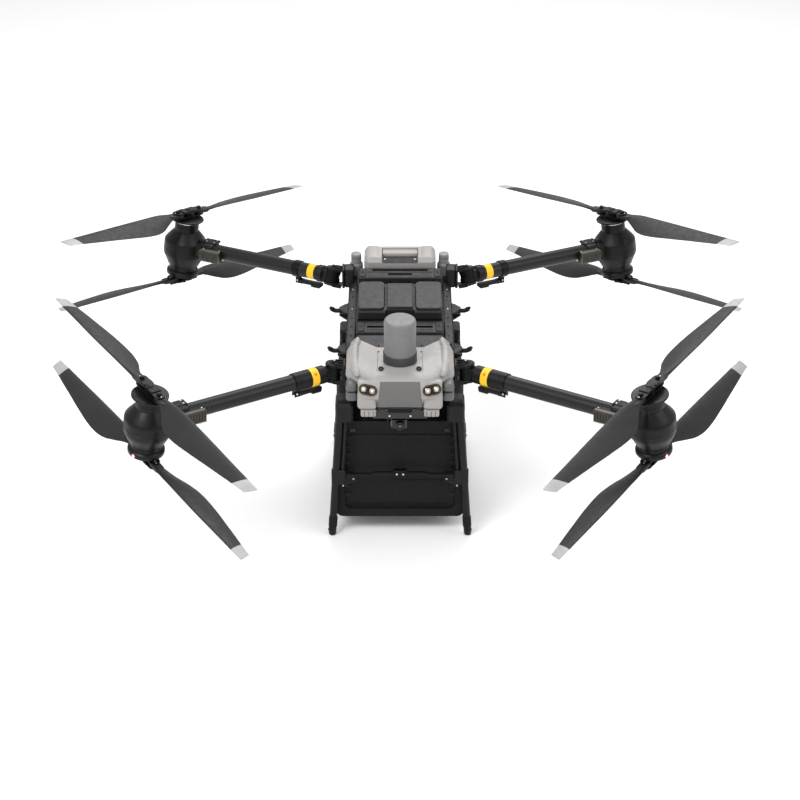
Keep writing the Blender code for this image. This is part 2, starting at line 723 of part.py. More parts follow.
def case_shape():
    """A foam cargo case, hollow, with a recessed front, a doorway at the back and two hangers."""
    body = loft("cargo_case", [case_ring(CASE_FRONT, 0.0), case_ring(CASE_REAR, 0.0)])
    hollow = loft("case_hollow", [
        case_ring(CASE_FRONT - CASE_FRONT_WALL, -CASE_WALL),
        case_ring(CASE_REAR + CASE_REAR_WALL, -CASE_WALL),
    ])
    doorway = placed_block("doorway", (-DOORWAY_HALF, 0.0, DOORWAY_LOW), (DOORWAY_HALF, -0.5, DOORWAY_HIGH))
    recess = loft("front_recess", [
        case_ring(CASE_FRONT + 0.1, -CASE_RECESS_INSET),
        case_ring(CASE_FRONT - CASE_RECESS_DEPTH, -CASE_RECESS_INSET - 0.004),
    ])
    hangers = []
    for forward in (0.200, -0.200):
        low = (-0.120, forward + 0.030, -0.370)
        high = (0.120, forward - 0.030, BELLY_BOTTOM - GAP)
        hangers.append(placed_block(f"hanger{forward}", low, high, 0.002))
    lugs = [
        placed_block(
            f"door_lug{side}", (side * (DOOR_HALF - 0.0195), CASE_REAR + 0.004, DOOR_AXIS_UP - 0.008),
            (side * DOOR_HALF, DOOR_AXIS_FORWARD - 0.006, DOOR_AXIS_UP + 0.008), 0.002,
        )
        for side in (-1, 1)
    ]
    ends = [place(side * (DOOR_HALF - 0.010), DOOR_AXIS_FORWARD, DOOR_AXIS_UP) for side in (-1, 1)]
    pin = rod("door_pin", ends[0], ends[1], PIN_RADIUS, 8)
    return fuse(cut(fuse(cut(body, hollow), *hangers), doorway, recess), *lugs, pin)


def door_shape():
    """The rear door with its hinge barrel along the top edge and its pull."""
    outside = CASE_REAR - GAP
    back = outside - DOOR_THICKNESS
    top = DOOR_AXIS_UP - 0.0005
    low = (-DOOR_HALF, outside, DOORWAY_LOW - 0.008)
    plate = placed_block("case_door", low, (DOOR_HALF, back, top), 0.003)
    pull = placed_block("door_pull", (-0.050, back + 0.004, -0.744), (0.050, back - 0.014, -0.724), 0.004)
    reach = DOOR_HALF - 0.020
    ends = [place(side * reach, DOOR_AXIS_FORWARD, DOOR_AXIS_UP) for side in (-1, 1)]
    barrel = rod("door_barrel", ends[0], ends[1], 0.0065, 12)
    bore = [place(side * DOOR_HALF, DOOR_AXIS_FORWARD, DOOR_AXIS_UP) for side in (-1, 1)]
    corners = [
        placed_block(
            f"door_corner{side}", (side * reach, outside + 0.01, DOOR_AXIS_UP - 0.0120),
            (side * 0.3, back - 0.01, DOOR_AXIS_UP + 0.02),
        )
        for side in (-1, 1)
    ]
    bore_tool = rod("door_bore", bore[0], bore[1], PIN_RADIUS + 0.0007, 8)
    return cut(fuse(plate, pull, barrel), bore_tool, *corners)


def leg_point(leg, up):
    """The middle of a leg at one height."""
    top, foot = (Vector(end) for end in leg)
    return place(*top.lerp(foot, (up - top.z) / (foot.z - top.z)))


def leg_pieces(name, leg, inward, knee_top):
    """A leg with its foot, knee cover, waist clamp and, inside it, a thinner parallel tube."""
    ground = -ROTOR_PLANE_HEIGHT
    forward = leg[0][1]
    pad = leg_point(leg, ground)
    waist = leg_point(leg, LEG_WAIST_UP)
    to_inner = Vector((INNER_TUBE_OFFSET, 0.0, 0.0))
    inner_top = leg_point(leg, -0.330) + to_inner
    clamp_low = waist - Vector((0.017, 0.014, 0.040))
    clamp_high = waist + Vector((0.036, 0.014, 0.024))
    knee_low = (-0.242, forward + inward * 0.016, -0.352)
    knee_high = (-0.176, forward - inward * 0.076, knee_top)
    return [
        rod(name, leg_point(leg, ground + 0.004), leg_point(leg, -0.310), LEG_RADIUS, 12),
        rod(name + "_foot", pad, pad + Vector((0.0, 0.0, 0.024)), 0.012, 12, 0.0165),
        rod(name + "_inner", waist + to_inner, inner_top, THIN_TUBE_RADIUS, 8),
        placed_block(name + "_knee", knee_low, knee_high, 0.008),
        block(name + "_clamp", clamp_low, clamp_high, 0.004),
    ]


def gear_shape():
    """The right landing gear: two legs, the tube between their knees and its hangers."""
    front, rear = FRONT_LEG[0][1], REAR_LEG[0][1]
    knee_ends = [place(-0.188, forward, -0.334) for forward in (front - 0.020, rear + 0.020)]
    knee_tube = rod("landing_gear", knee_ends[0], knee_ends[1], 0.013, 10)
    hangers = []
    for forward in (0.150, -0.250):
        low = (-0.202, forward + 0.030, -0.346)
        high = (-0.174, forward - 0.030, BELLY_BOTTOM - GAP)
        hangers.append(placed_block(f"gear_hanger{forward}", low, high, 0.002))
    legs = leg_pieces("front_leg", FRONT_LEG, 1, -0.268)
    legs += leg_pieces("rear_leg", REAR_LEG, -1, BELLY_BOTTOM - GAP)
    return fuse(knee_tube, *hangers, *legs)


def crossbar_shape():
    """The bar across the front legs, raised in the middle, with a clamp block there."""
    spots = ((0.2062, LEG_WAIST_UP), (0.1150, LEG_WAIST_UP), (0.0950, LEG_WAIST_UP + 0.007))
    forward = FRONT_LEG[0][1]
    half = [place(-side, forward, up) for side, up in spots]
    points = half + [Vector((-p.x, p.y, p.z)) for p in half[::-1]]
    bar = bent_tube("landing_crossbar", points, THIN_TUBE_RADIUS)
    low = (-0.026, forward + 0.012, LEG_WAIST_UP - 0.007)
    clamp = placed_block("bar_clamp", low, (0.026, forward - 0.012, LEG_WAIST_UP + 0.022), 0.003)
    return fuse(bar, clamp)


def make_fuselage():
    single("fuselage_frame", frame_shape(), DARK, 0.5)
    single("nose_shell", nose_shape(), WARM_GREY, 0.45)
    single("nose_deck", deck_shape(), (0.10, 0.10, 0.105), 0.5)
    single("radar_cover", radar_shape(), DARK, 0.4)
    both_sides("headlamp", lamp_body("headlamp_right", -1, 0.0, 0.030), (0.02, 0.02, 0.022), 0.2)
    single("parachute_canister", canister_shape(), (0.20, 0.20, 0.205), 0.5, True)
    single("centre_cover", cover_shape(), (0.075, 0.076, 0.08), 0.5)
    front = battery_shape("front_battery", 0.137, 0.046, -0.092, ((0.125, 0.0),))
    single("front_battery", front, (0.06, 0.061, 0.065), 0.5)
    rear = battery_shape("rear_battery", -0.262, -0.349, -0.062, ((0.110, -0.024), (0.047, 0.012)))
    single("rear_battery", rear, (0.06, 0.061, 0.065), 0.5)
    single("rear_shell", rear_shell_shape(), WARM_GREY, 0.45)
    both_sides("antenna", antenna_shape(), (0.42, 0.42, 0.42), 0.45, 0.0, True)
    single("gimbal_yoke", yoke_shape(), BLACK, 0.4, False, place(-0.005, CAMERA_FORWARD, -0.2525))
    single("gimbal_camera", camera_shape(), BLACK, 0.4, False, place(0.0, CAMERA_FORWARD, CAMERA_UP))


def deck_shape():
    return deck_plate("nose_deck", 0.0, DECK_LOW + GAP, DECK_TOP)


def deck_plate(name, swell, low, high):
    """The dark deck behind the canister, whose front edge runs diagonally out to the horns."""
    half = ((0.086, 0.262), (0.158, 0.196), (0.158, 0.1405))
    outline = [(x + swell, y + swell) for x, y in half]
    outline[-1] = (outline[-1][0], half[-1][1] - swell)
    outline += [(-x, y) for x, y in outline[::-1]]
    frame = Matrix.Translation(place(0.0, 0.0, (low + high) / 2)) @ Matrix.Diagonal((1.0, -1.0, 1.0, 1.0))
    return slab(name, outline, (high - low) / 2, frame)


def radar_shape():
    return placed_block("radar_cover", (-0.085, 0.496, -0.258), (0.085, 0.435, -0.205), 0.006)


def single(name, shape, colour, roughness, smooth=False, origin=None):
    finish(name, shape, material(name, colour, roughness), origin, smooth)


def make_undercarriage():
    single("cargo_case", case_shape(), BLACK, 0.7)
    single(
        "case_door", door_shape(), BLACK, 0.7, False, place(0.0, DOOR_AXIS_FORWARD, DOOR_AXIS_UP)
    )
    both_sides("landing_gear", gear_shape(), BLACK, 0.4, 0.3, True)
    single("landing_crossbar", crossbar_shape(), BLACK, 0.4, True)


make_fuselage()
make_undercarriage()
make_arm("front", 1, FRONT_ROOT, FRONT_FOLD_AXIS, FRONT_SEAT)
make_arm("rear", -1, REAR_ROOT, REAR_FOLD_AXIS, REAR_SEAT)
make_rotor("front", "upper", 1, -1)
make_rotor("front", "lower", 1, 1)
make_rotor("rear", "upper", -1, 1)
make_rotor("rear", "lower", -1, -1)
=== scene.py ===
"""The look of the cargo drone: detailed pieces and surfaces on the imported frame, a pale floor and a camera.

Places are given as (side, forward, up), as in the part: side is X, forward is towards the nose (-Y),
and up is measured from the plane of the upper propeller hubs. Pieces are drawn for the drone's
right-hand side and copied to the left by reflection in X.
"""

import math

import bmesh
import bpy
from mathutils import Matrix, Vector


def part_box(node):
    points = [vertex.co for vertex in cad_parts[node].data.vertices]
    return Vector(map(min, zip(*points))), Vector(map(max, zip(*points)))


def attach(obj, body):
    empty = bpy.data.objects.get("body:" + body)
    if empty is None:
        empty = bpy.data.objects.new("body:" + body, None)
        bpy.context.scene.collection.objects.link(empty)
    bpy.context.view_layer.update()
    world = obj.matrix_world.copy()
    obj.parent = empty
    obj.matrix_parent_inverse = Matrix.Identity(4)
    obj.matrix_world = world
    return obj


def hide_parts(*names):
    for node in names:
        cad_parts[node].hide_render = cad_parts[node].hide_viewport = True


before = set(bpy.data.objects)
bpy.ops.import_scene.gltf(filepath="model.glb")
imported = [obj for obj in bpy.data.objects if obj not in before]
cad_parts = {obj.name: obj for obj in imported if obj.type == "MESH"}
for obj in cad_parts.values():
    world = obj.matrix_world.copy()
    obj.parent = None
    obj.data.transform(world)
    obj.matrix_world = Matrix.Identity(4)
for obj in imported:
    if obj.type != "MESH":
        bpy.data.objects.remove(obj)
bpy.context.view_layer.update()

# ---- dimensions shared with the part, metres ----
ROTOR_PLANE_HEIGHT = 0.8563
MIDDLE_FORWARD = 0.0199
MOTOR_SIDE = 0.875
MOTOR_FORWARD = 0.73
AXIS_LEAN_IN = 0.131
AXIS_LEAN_OUT = 0.073
ROTOR_SPACING = 0.286
BLADE_PIVOT_RADIUS = 0.058
BLADE_ANGLE = {"front": math.radians(53.0), "rear": math.radians(-47.3)}
ROOT = {"front": (-0.25, 0.3, -0.17), "rear": (-0.269, -0.385, -0.115)}
FOLD_AXIS = {"front": (0.1188, -0.1282, 1.0), "rear": (0.1887, -0.2734, 1.0)}
SEAT = {"front": 0.2012, "rear": 0.22}
SIGN = {"front": 1, "rear": -1}
TUBE_RADIUS = 0.03
KNUCKLE_RADIUS = 0.03
KNUCKLE_HALF_HEIGHT = 0.024
RAIL_OUTER = 0.204
RAIL_TOP = -0.135
BELLY_BOTTOM = -0.3
CASE_FRONT = 0.34
CAMERA_FORWARD = 0.4175
CAMERA_UP = -0.314
FRONT_LEG = ((-0.224, 0.362, -0.29), (-0.262, 0.362, -ROTOR_PLANE_HEIGHT))
REAR_LEG = ((-0.224, -0.338, -0.29), (-0.262, -0.338, -ROTOR_PLANE_HEIGHT))
LEG_RADIUS = 0.0145
HUB_PLATE_LEVEL = 0.0098
NOSE_TOP = -0.088
ANTENNA_PLACE = (-0.176, -0.446, 0.0)
CANISTER_FORWARD = 0.36
CROSSBAR_UP = -0.5775

# ---- screw head radii, metres ----
TINY_SCREW = 0.0028
SMALL_SCREW = 0.0034
SCREW = 0.0036
BIG_SCREW = 0.0042

# ---- camera, lights and floor ----
CAMERA_BACK = 6.905
CAMERA_RISE = 3.551
CAMERA_TILT = 59.8
CAMERA_LENS = 91.4
SENSOR_WIDTH = 36.0
SIGHT_LIMIT = 200.0
FLOOR_REACH = 60.0
FLOOR_UP = -0.001
SKY_STRENGTH = 0.74
LIGHTS = (
    ("key", (-2.6, -3.2, 5.4), 3.0, 210.0),
    ("fill", (3.6, -1.8, 4.2), 3.5, 80.0),
    ("rim", (0.4, 3.8, 4.4), 3.0, 110.0),
)
LIGHT_TARGET = Vector((0.0, 0.0, 0.6))

UP = Vector((0.0, 0.0, 1.0))
AHEAD = Vector((0.0, -1.0, 0.0))
SIDEWAYS = Vector((1.0, 0.0, 0.0))


def place(side, forward, up):
    return Vector((side, MIDDLE_FORWARD - forward, ROTOR_PLANE_HEIGHT + up))


def at(side, forward, up):
    """A matrix that only moves to a place."""
    return Matrix.Translation(place(side, forward, up))


def mm(*pairs):
    """Pairs of millimetres as pairs of metres."""
    return tuple((a / 1000, b / 1000) for a, b in pairs)


def direction(side, forward, up):
    return Vector((side, -forward, up)).normalized()


def frame_on(axis, facing, origin):
    """A matrix whose Z is the axis and whose X is as near to facing as it can be."""
    z = axis.normalized()
    x = (facing - z * facing.dot(z)).normalized()
    turn = Matrix((x, z.cross(x), z)).transposed().to_4x4()
    return Matrix.Translation(origin) @ turn


def frame_along(along, origin):
    """A matrix with X along the arm and Z as near to up as it can be."""
    x = along.normalized()
    return frame_on(UP - x * UP.dot(x), x, origin)


def facing(spot, outward):
    """A matrix at a spot whose Z points outward."""
    return Matrix.Translation(spot) @ outward.to_track_quat("Z", "Y").to_matrix().to_4x4()


FACING_FRONT = Matrix.Rotation(math.pi / 2, 4, "X")
ALONG_X = Matrix.Rotation(math.pi / 2, 4, "Y")


def rotor_axis(corner):
    return direction(AXIS_LEAN_IN, AXIS_LEAN_OUT * SIGN[corner], 1.0)


def rotor_frame(corner, level):
    axis = rotor_axis(corner)
    drop = 0.0 if level == "upper" else ROTOR_SPACING
    centre = place(-MOTOR_SIDE, SIGN[corner] * MOTOR_FORWARD, 0.0) - axis * drop
    angle = BLADE_ANGLE[corner]
    return frame_on(axis, Vector((math.cos(angle), -math.sin(angle), 0.0)), centre)


def arm_frame(corner):
    root = place(*ROOT[corner])
    top = place(-MOTOR_SIDE, SIGN[corner] * MOTOR_FORWARD, 0.0)
    along = top - rotor_axis(corner) * ROTOR_SPACING / 2 - root
    return frame_along(along, root), along.length


def hinge_frame(corner):
    return frame_on(direction(*FOLD_AXIS[corner]), SIDEWAYS, place(*ROOT[corner]))


# ---- surfaces ----
DARK_LIMIT = 0.03
DARK_SHINE = 0.24
PALE_SHINE = 0.5


class Surface:
    """A material and the few node steps that every surface here is made of."""

    def __init__(self, name, colour, roughness, metallic=0.0):
        self.material = bpy.data.materials.new(name)
        self.material.use_nodes = True
        self.material.diffuse_color = (*colour, 1.0)
        self.tree = self.material.node_tree
        self.shader = self.tree.nodes["Principled BSDF"]
        self.colour = colour
        self.put("Base Color", (*colour, 1.0))
        self.put("Roughness", roughness)
        self.put("Metallic", metallic)
        self.put("Specular IOR Level", PALE_SHINE if max(colour) > DARK_LIMIT else DARK_SHINE)
        self.spot = self.tree.nodes.new("ShaderNodeTexCoord").outputs["Object"]
        self.normal = None

    def put(self, socket, value):
        self.shader.inputs[socket].default_value = value

    def coat(self, weight, roughness):
        self.put("Coat Weight", weight)
        self.put("Coat Roughness", roughness)

    def node(self, kind, inputs=None, **settings):
        made = self.tree.nodes.new(kind)
        for key, value in settings.items():
            setattr(made, key, value)
        for key, value in (inputs or {}).items():
            if isinstance(value, bpy.types.NodeSocket):
                self.tree.links.new(value, made.inputs[key])
            else:
                made.inputs[key].default_value = value
        return made

    def math(self, operation, a, b=0.0):
        return self.node("ShaderNodeMath", {0: a, 1: b}, operation=operation).outputs[0]

    def noise(self, scale, detail=3.0, rough=0.55, spot=None):
        return self.node(
            "ShaderNodeTexNoise",
            {"Vector": spot or self.spot, "Scale": scale, "Detail": detail, "Roughness": rough},
        ).outputs["Fac"]

    def spread(self, value, low, high, from_low=0.3, from_high=0.7):
        return self.node(
            "ShaderNodeMapRange",
            {"Value": value, "From Min": from_low, "From Max": from_high, "To Min": low, "To Max": high},
        ).outputs["Result"]

    def tone(self, value, dark, light):
        """Colours the surface between two multiples of its colour."""
        mix = self.node("ShaderNodeMix", {"Factor": value}, data_type="RGBA")
        mix.inputs["A"].default_value = (*(part * dark for part in self.colour), 1.0)
        mix.inputs["B"].default_value = (*(part * light for part in self.colour), 1.0)
        self.tree.links.new(mix.outputs["Result"], self.shader.inputs["Base Color"])
        return mix

    def rough(self, value, low, high):
        self.tree.links.new(self.spread(value, low, high), self.shader.inputs["Roughness"])

    def bump(self, height, strength, distance):
        inputs = {"Height": height, "Strength": strength, "Distance": distance}
        if self.normal:
            inputs["Normal"] = self.normal
        self.normal = self.node("ShaderNodeBump", inputs).outputs["Normal"]
        self.tree.links.new(self.normal, self.shader.inputs["Normal"])

    def round_edges(self, radius):
        self.normal = self.node("ShaderNodeBevel", {"Radius": radius}, samples=4).outputs["Normal"]
        self.tree.links.new(self.normal, self.shader.inputs["Normal"])


def moulded(name, colour, roughness, grain=0.0011, depth=0.12, mottle=0.1, edges=0.0, coat=0.0):
    """Moulded plastic or paint: a fine pebbled grain, faint mottling and uneven gloss."""
    made = Surface(name, colour, roughness)
    if edges:
        made.round_edges(edges)
    cloud = made.noise(7.0, 4.0)
    made.tone(made.spread(cloud, 0.0, 1.0), 1.0 - mottle, 1.0 + mottle)
    made.rough(made.noise(46.0, 5.0), roughness - 0.07, roughness + 0.09)
    made.bump(made.noise(1.0 / grain, 2.0), depth, grain * 0.4)
    made.coat(coat, 0.25)
    return made.material


def metal(name, colour, roughness, edges=0.0, anodised=False):
    """Machined or anodised metal with fine turning marks."""
    made = Surface(name, colour, roughness, 0.55 if anodised else 1.0)
    if edges:
        made.round_edges(edges)
    made.tone(made.spread(made.noise(30.0, 4.0), 0.0, 1.0), 0.85, 1.15)
    made.rough(made.noise(260.0, 3.0), roughness - 0.08, roughness + 0.12)
    made.bump(made.noise(900.0, 2.0), 0.08, 0.0003)
    return made.material


def woven(name, colour, roughness, cell=0.0042):
    """Twill-woven carbon fibre under a thin clear coat, laid out on the mesh's own UV in metres; the twill
    pattern is real, and its lighter warp and darker weft cells are a painted sheen.
    """
    made = Surface(name, colour, roughness)
    spot = made.node("ShaderNodeUVMap", uv_map="UVMap").outputs["UV"]
    parts = made.node("ShaderNodeSeparateXYZ", {0: spot}).outputs
    across = made.math("DIVIDE", parts["X"], cell)
    along = made.math("DIVIDE", parts["Y"], cell)
    total = made.math("ADD", made.math("FLOOR", across), made.math("FLOOR", along))
    warp = made.math("LESS_THAN", made.math("FLOORED_MODULO", total, 4.0), 1.5)
    # Painted sheen: warp cells lighter and weft cells darker, standing in for how the tows catch the light.
    made.tone(made.spread(warp, 0.0, 1.0, 0.0, 1.0), 0.62, 1.55)
    made.rough(
        made.math("ADD", made.math("MULTIPLY", warp, 0.25), 0.35), roughness - 0.06, roughness + 0.08,
    )
    tow_across = made.math("PINGPONG", across, 0.5)
    tow_along = made.math("PINGPONG", along, 0.5)
    over = made.math("MULTIPLY", warp, tow_across)
    under = made.math("MULTIPLY", made.math("SUBTRACT", 1.0, warp), tow_along)
    made.bump(made.math("ADD", over, under), 0.35, 0.0006)
    made.coat(0.1, 0.18)
    return made.material


def blade_skin(name, colour, roughness):
    """Matt composite with faint lay-up streaks."""
    made = Surface(name, colour, roughness)
    spot = made.node("ShaderNodeMapping", {"Vector": made.spot, "Scale": (1.0, 1.0, 4.0)}).outputs[0]
    made.tone(made.spread(made.noise(11.0, 5.0, 0.6, spot), 0.0, 1.0), 0.86, 1.14)
    made.rough(made.noise(70.0, 4.0), roughness - 0.06, roughness + 0.1)
    made.bump(made.noise(700.0, 2.0), 0.1, 0.0004)
    return made.material


def foam(name, colour, roughness, bead=0.0055, edges=0.0):
    """Expanded bead foam: packed rounded beads with dark seams between them."""
    made = Surface(name, colour, roughness)
    if edges:
        made.round_edges(edges)
    beads = made.node(
        "ShaderNodeTexVoronoi", {"Vector": made.spot, "Scale": 1.0 / bead}, feature="DISTANCE_TO_EDGE",
    )
    seam = made.spread(beads.outputs["Distance"], 0.0, 1.0, 0.0, 0.16)
    made.tone(made.math("MULTIPLY", seam, made.spread(made.noise(14.0, 4.0), 0.75, 1.0)), 0.55, 1.2)
    made.rough(made.noise(120.0, 3.0), roughness - 0.08, roughness + 0.08)
    made.bump(seam, 0.45, 0.0007)
    made.bump(made.noise(1500.0, 2.0), 0.15, 0.0003)
    return made.material


def glow(name, colour, strength):
    made = Surface(name, colour, 0.3)
    made.tone(made.noise(400.0, 2.0), 0.9, 1.1)
    made.put("Emission Color", (*colour, 1.0))
    made.put("Emission Strength", strength)
    return made.material


def lens_glass(name, colour):
    """Dark coated glass."""
    made = Surface(name, colour, 0.05)
    made.tone(made.spread(made.noise(25.0, 2.0), 0.0, 1.0), 0.6, 1.6)
    made.rough(made.noise(90.0, 3.0), 0.03, 0.09)
    made.coat(1.0, 0.03)
    made.put("Specular IOR Level", 0.8)
    return made.material


SHELL = moulded("shell_warm_grey", (0.315, 0.298, 0.288), 0.42, 0.001, 0.05, 0.035, 0.0025)
# Darker shell grey: the real colour of the thin seam lines, and painted shade on the recess bars and the nose
# front panel.
SHELL_SEAM_AND_PAINTED_SHADE = moulded("shell_seam_and_painted_shade_grey", (0.12, 0.116, 0.111), 0.5, 0.001, 0.08, 0.04, 0.0015)
POD_GREY = moulded("pod_grey", (0.105, 0.104, 0.104), 0.45, 0.001, 0.08, 0.05, 0.002)
ANTENNA_GREY = moulded("antenna_grey", (0.22, 0.22, 0.22), 0.45, 0.0009, 0.06, 0.04)
CANISTER_GREY = moulded("canister_grey", (0.165, 0.163, 0.166), 0.48, 0.0009, 0.08, 0.04)
CANISTER_RING = moulded("canister_ring_grey", (0.038, 0.037, 0.038), 0.5, 0.0009, 0.1, 0.06)
PANEL_GREY = moulded("panel_grey", (0.03, 0.029, 0.03), 0.46, 0.0012, 0.12, 0.06, 0.002)
COVER_DARK = moulded("cover_dark", (0.016, 0.016, 0.017), 0.48, 0.0012, 0.15, 0.08, 0.002)
BATTERY_DARK = moulded("battery_dark", (0.018, 0.018, 0.019), 0.45, 0.0014, 0.22, 0.08, 0.0015)
FRAME_DARK = moulded("frame_dark", (0.014, 0.014, 0.015), 0.44, 0.0012, 0.14, 0.12, 0.002)
BLACK_PLASTIC = moulded("black_plastic", (0.0045, 0.0045, 0.0048), 0.46, 0.0011, 0.14, 0.2, 0.0012)
BLACK_GLOSS = moulded("black_gloss", (0.0035, 0.0035, 0.0038), 0.24, 0.002, 0.03, 0.1, 0.001, 0.4)
MOTOR_BLACK = moulded("motor_black", (0.003, 0.003, 0.0032), 0.4, 0.0014, 0.08, 0.2)
RUBBER = moulded("rubber_black", (0.006, 0.006, 0.006), 0.75, 0.0016, 0.3, 0.15)
YELLOW = moulded("band_yellow", (0.95, 0.52, 0.001), 0.42, 0.0009, 0.05, 0.05)
ORANGE = moulded("mark_orange", (0.8, 0.16, 0.02), 0.4, 0.0009, 0.05, 0.05)
TIP_GREY = blade_skin("blade_tip_grey", (0.36, 0.355, 0.36), 0.45)
BLADE = blade_skin("blade_composite", (0.019, 0.019, 0.02), 0.48)
CARBON = woven("carbon_twill", (0.0075, 0.0075, 0.008), 0.44)
DARK_METAL = metal("black_anodised", (0.008, 0.008, 0.009), 0.36, 0.001, True)
STEEL = metal("screw_steel", (0.62, 0.61, 0.6), 0.28)
HEAT_SINK = metal("heat_sink_champagne", (0.115, 0.105, 0.088), 0.42, 0.0006, True)
FOAM = foam("case_foam", (0.0062, 0.0062, 0.0065), 0.72, 0.0055, 0.003)
FOAM_RIB = foam("case_rib_foam", (0.011, 0.011, 0.0115), 0.68, 0.004, 0.0015)
# Near-black: the real colour of the case seam line and the radar slit, and painted shade on the walls of the
# battery grip slots.
NEAR_BLACK_AND_PAINTED_SHADE = moulded("near_black_and_painted_shade", (0.004, 0.004, 0.004), 0.8, 0.0012, 0.1, 0.2)
LENS = lens_glass("lens_glass", (0.006, 0.006, 0.009))
MIRROR = metal("lamp_reflector", (0.62, 0.58, 0.5), 0.16)
LAMP = glow("lamp_lens", (0.7, 0.66, 0.58), 0.05)
LED_WHITE = glow("led_white", (1.0, 1.0, 1.0), 3.0)
LED_RED = glow("led_red_ring", (0.55, 0.02, 0.05), 0.6)


# ---- shapes: each is a closed bmesh in world coordinates ----
def new_shape():
    made = bmesh.new()
    made.loops.layers.uv.new("UVMap")
    return made


def ease_edges(shape, edges, width, segments):
    bmesh.ops.bevel(shape, geom=edges, offset=width, segments=segments, profile=0.5, affect="EDGES")


def block(low, high, bevel=0.0, matrix=None, segments=3):
    low, high = Vector(low), Vector(high)
    shape = new_shape()
    bmesh.ops.create_cube(shape, size=1.0)
    bmesh.ops.scale(shape, vec=high - low, verts=shape.verts)
    if bevel:
        ease_edges(shape, shape.edges[:], min(bevel, min(high - low) * 0.49), segments)
    bmesh.ops.translate(shape, vec=(low + high) / 2, verts=shape.verts)
    if matrix:
        shape.transform(matrix)
    return shape


def placed_block(low, high, bevel=0.0, segments=3):
    a, b = place(*low), place(*high)
    low = [min(p, q) for p, q in zip(a, b)]
    high = [max(p, q) for p, q in zip(a, b)]
    return block(low, high, bevel, None, segments)


def skin(rings, close_ends=True, matrix=None, wrap=1.0):
    """A closed skin over rings of points; its UV is laid out in metres round and along."""
    shape = new_shape()
    layer = shape.loops.layers.uv["UVMap"]
    rows = [[shape.verts.new(point) for point in ring] for ring in rings]
    count = len(rows[0])
    travel = [0.0]
    for near, far in zip(rings, rings[1:]):
        travel.append(travel[-1] + (Vector(far[0]) - Vector(near[0])).length)
    for index, (near, far) in enumerate(zip(rows, rows[1:])):
        for i in range(count):
            j = (i + 1) % count
            face = shape.faces.new((near[i], near[j], far[j], far[i]))
            corners = ((i, index), (i + 1, index), (i + 1, index + 1), (i, index + 1))
            for loop, (step, row) in zip(face.loops, corners):
                loop[layer].uv = (wrap * step / count, travel[row])
    if close_ends:
        shape.faces.new(rows[0])
        shape.faces.new(rows[-1])
    if matrix:
        shape.transform(matrix)
    return shape


def circle(radius, height, steps):
    turns = [math.tau * i / steps for i in range(steps)]
    return [(radius * math.cos(turn), radius * math.sin(turn), height) for turn in turns]


def lathe(profile, matrix=None, steps=48):
    """A turned body about Z from (radius, height) pairs; ends on the axis are closed flat."""
    rings = [circle(max(radius, 0.0002), height, steps) for radius, height in profile]
    largest = max(radius for radius, _ in profile)
    return skin(rings, True, matrix, math.tau * largest)


def hoop(profile, matrix=None, steps=48):
    """A turned ring about Z whose (radius, height) section closes on itself."""
    rings = [circle(radius, height, steps) for radius, height in (*profile, profile[0])]
    shape = skin(rings, False, matrix, math.tau * profile[0][0])
    bmesh.ops.remove_doubles(shape, verts=shape.verts, dist=1e-7)
    return shape


def rod(start, end, radius, steps, bevel):
    """A round bar between two world points, with chamfered ends."""
    along = end - start
    length = along.length
    side = (radius - bevel, 0.0), (radius, bevel), (radius, length - bevel), (radius - bevel, length)
    profile = ((0.0, 0.0), *side, (0.0, length))
    return lathe(profile, facing(start, along), steps)


def tube(points, radius, steps, corner):
    """A round tube along world points, its bends eased by corner, with flat ends."""
    path = eased(points, corner)
    rings = []
    side = None
    for index, point in enumerate(path):
        before = path[max(index - 1, 0)]
        after = path[min(index + 1, len(path) - 1)]
        along = (after - before).normalized()
        if side is None:
            side = along.orthogonal().normalized()
        side = (side - along * side.dot(along)).normalized()
        other = along.cross(side)
        rings.append([point + side * x + other * y for x, y, _ in circle(radius, 0.0, steps)])
    return skin(rings, True, None, math.tau * radius)


def eased(points, corner):
    """The same path with each inner corner replaced by a short curve."""
    path = [points[0]]
    for before, at, after in zip(points, points[1:], points[2:]):
        back, onward = before - at, after - at
        reach = min(corner, back.length * 0.45, onward.length * 0.45)
        start, end = at + back.normalized() * reach, at + onward.normalized() * reach
        for step in range(6):
            t = step / 5
            path.append(start * (1 - t) ** 2 + at * 2 * t * (1 - t) + end * t ** 2)
    path.append(points[-1])
    return path


def plate(outline, half_thickness, matrix, bevel=0.0):
    """A flat plate with its outline in the matrix's XY plane."""
    shape = new_shape()
    ring = [shape.verts.new((x, y, -half_thickness)) for x, y in outline]
    face = shape.faces.new(ring)
    raised = bmesh.ops.extrude_face_region(shape, geom=[face])
    top = [item for item in raised["geom"] if isinstance(item, bmesh.types.BMVert)]
    bmesh.ops.translate(shape, vec=(0.0, 0.0, 2 * half_thickness), verts=top)
    if bevel:
        flat = [edge for edge in shape.edges if abs(edge.verts[0].co.z - edge.verts[1].co.z) < 1e-6]
        ease_edges(shape, flat, bevel, 2)
    shape.transform(matrix)
    return shape


def stadium(half_length, half_width, turns=8):
    points = []
    for end in (1, -1):
        for i in range(turns + 1):
            angle = -math.pi / 2 + math.pi * i / turns if end > 0 else math.pi / 2 + math.pi * i / turns
            middle = end * (half_length - half_width)
            points.append((middle + half_width * math.cos(angle), half_width * math.sin(angle)))
    return points


def rounded(half_x, half_y, corner, turns=5):
    """The outline of a rectangle with round corners."""
    points = []
    for x, y, start in ((1, 1, 0), (-1, 1, 90), (-1, -1, 180), (1, -1, 270)):
        middle_x, middle_y = x * (half_x - corner), y * (half_y - corner)
        for i in range(turns + 1):
            angle = math.radians(start + 90 * i / turns)
            points.append((middle_x + corner * math.cos(angle), middle_y + corner * math.sin(angle)))
    return points


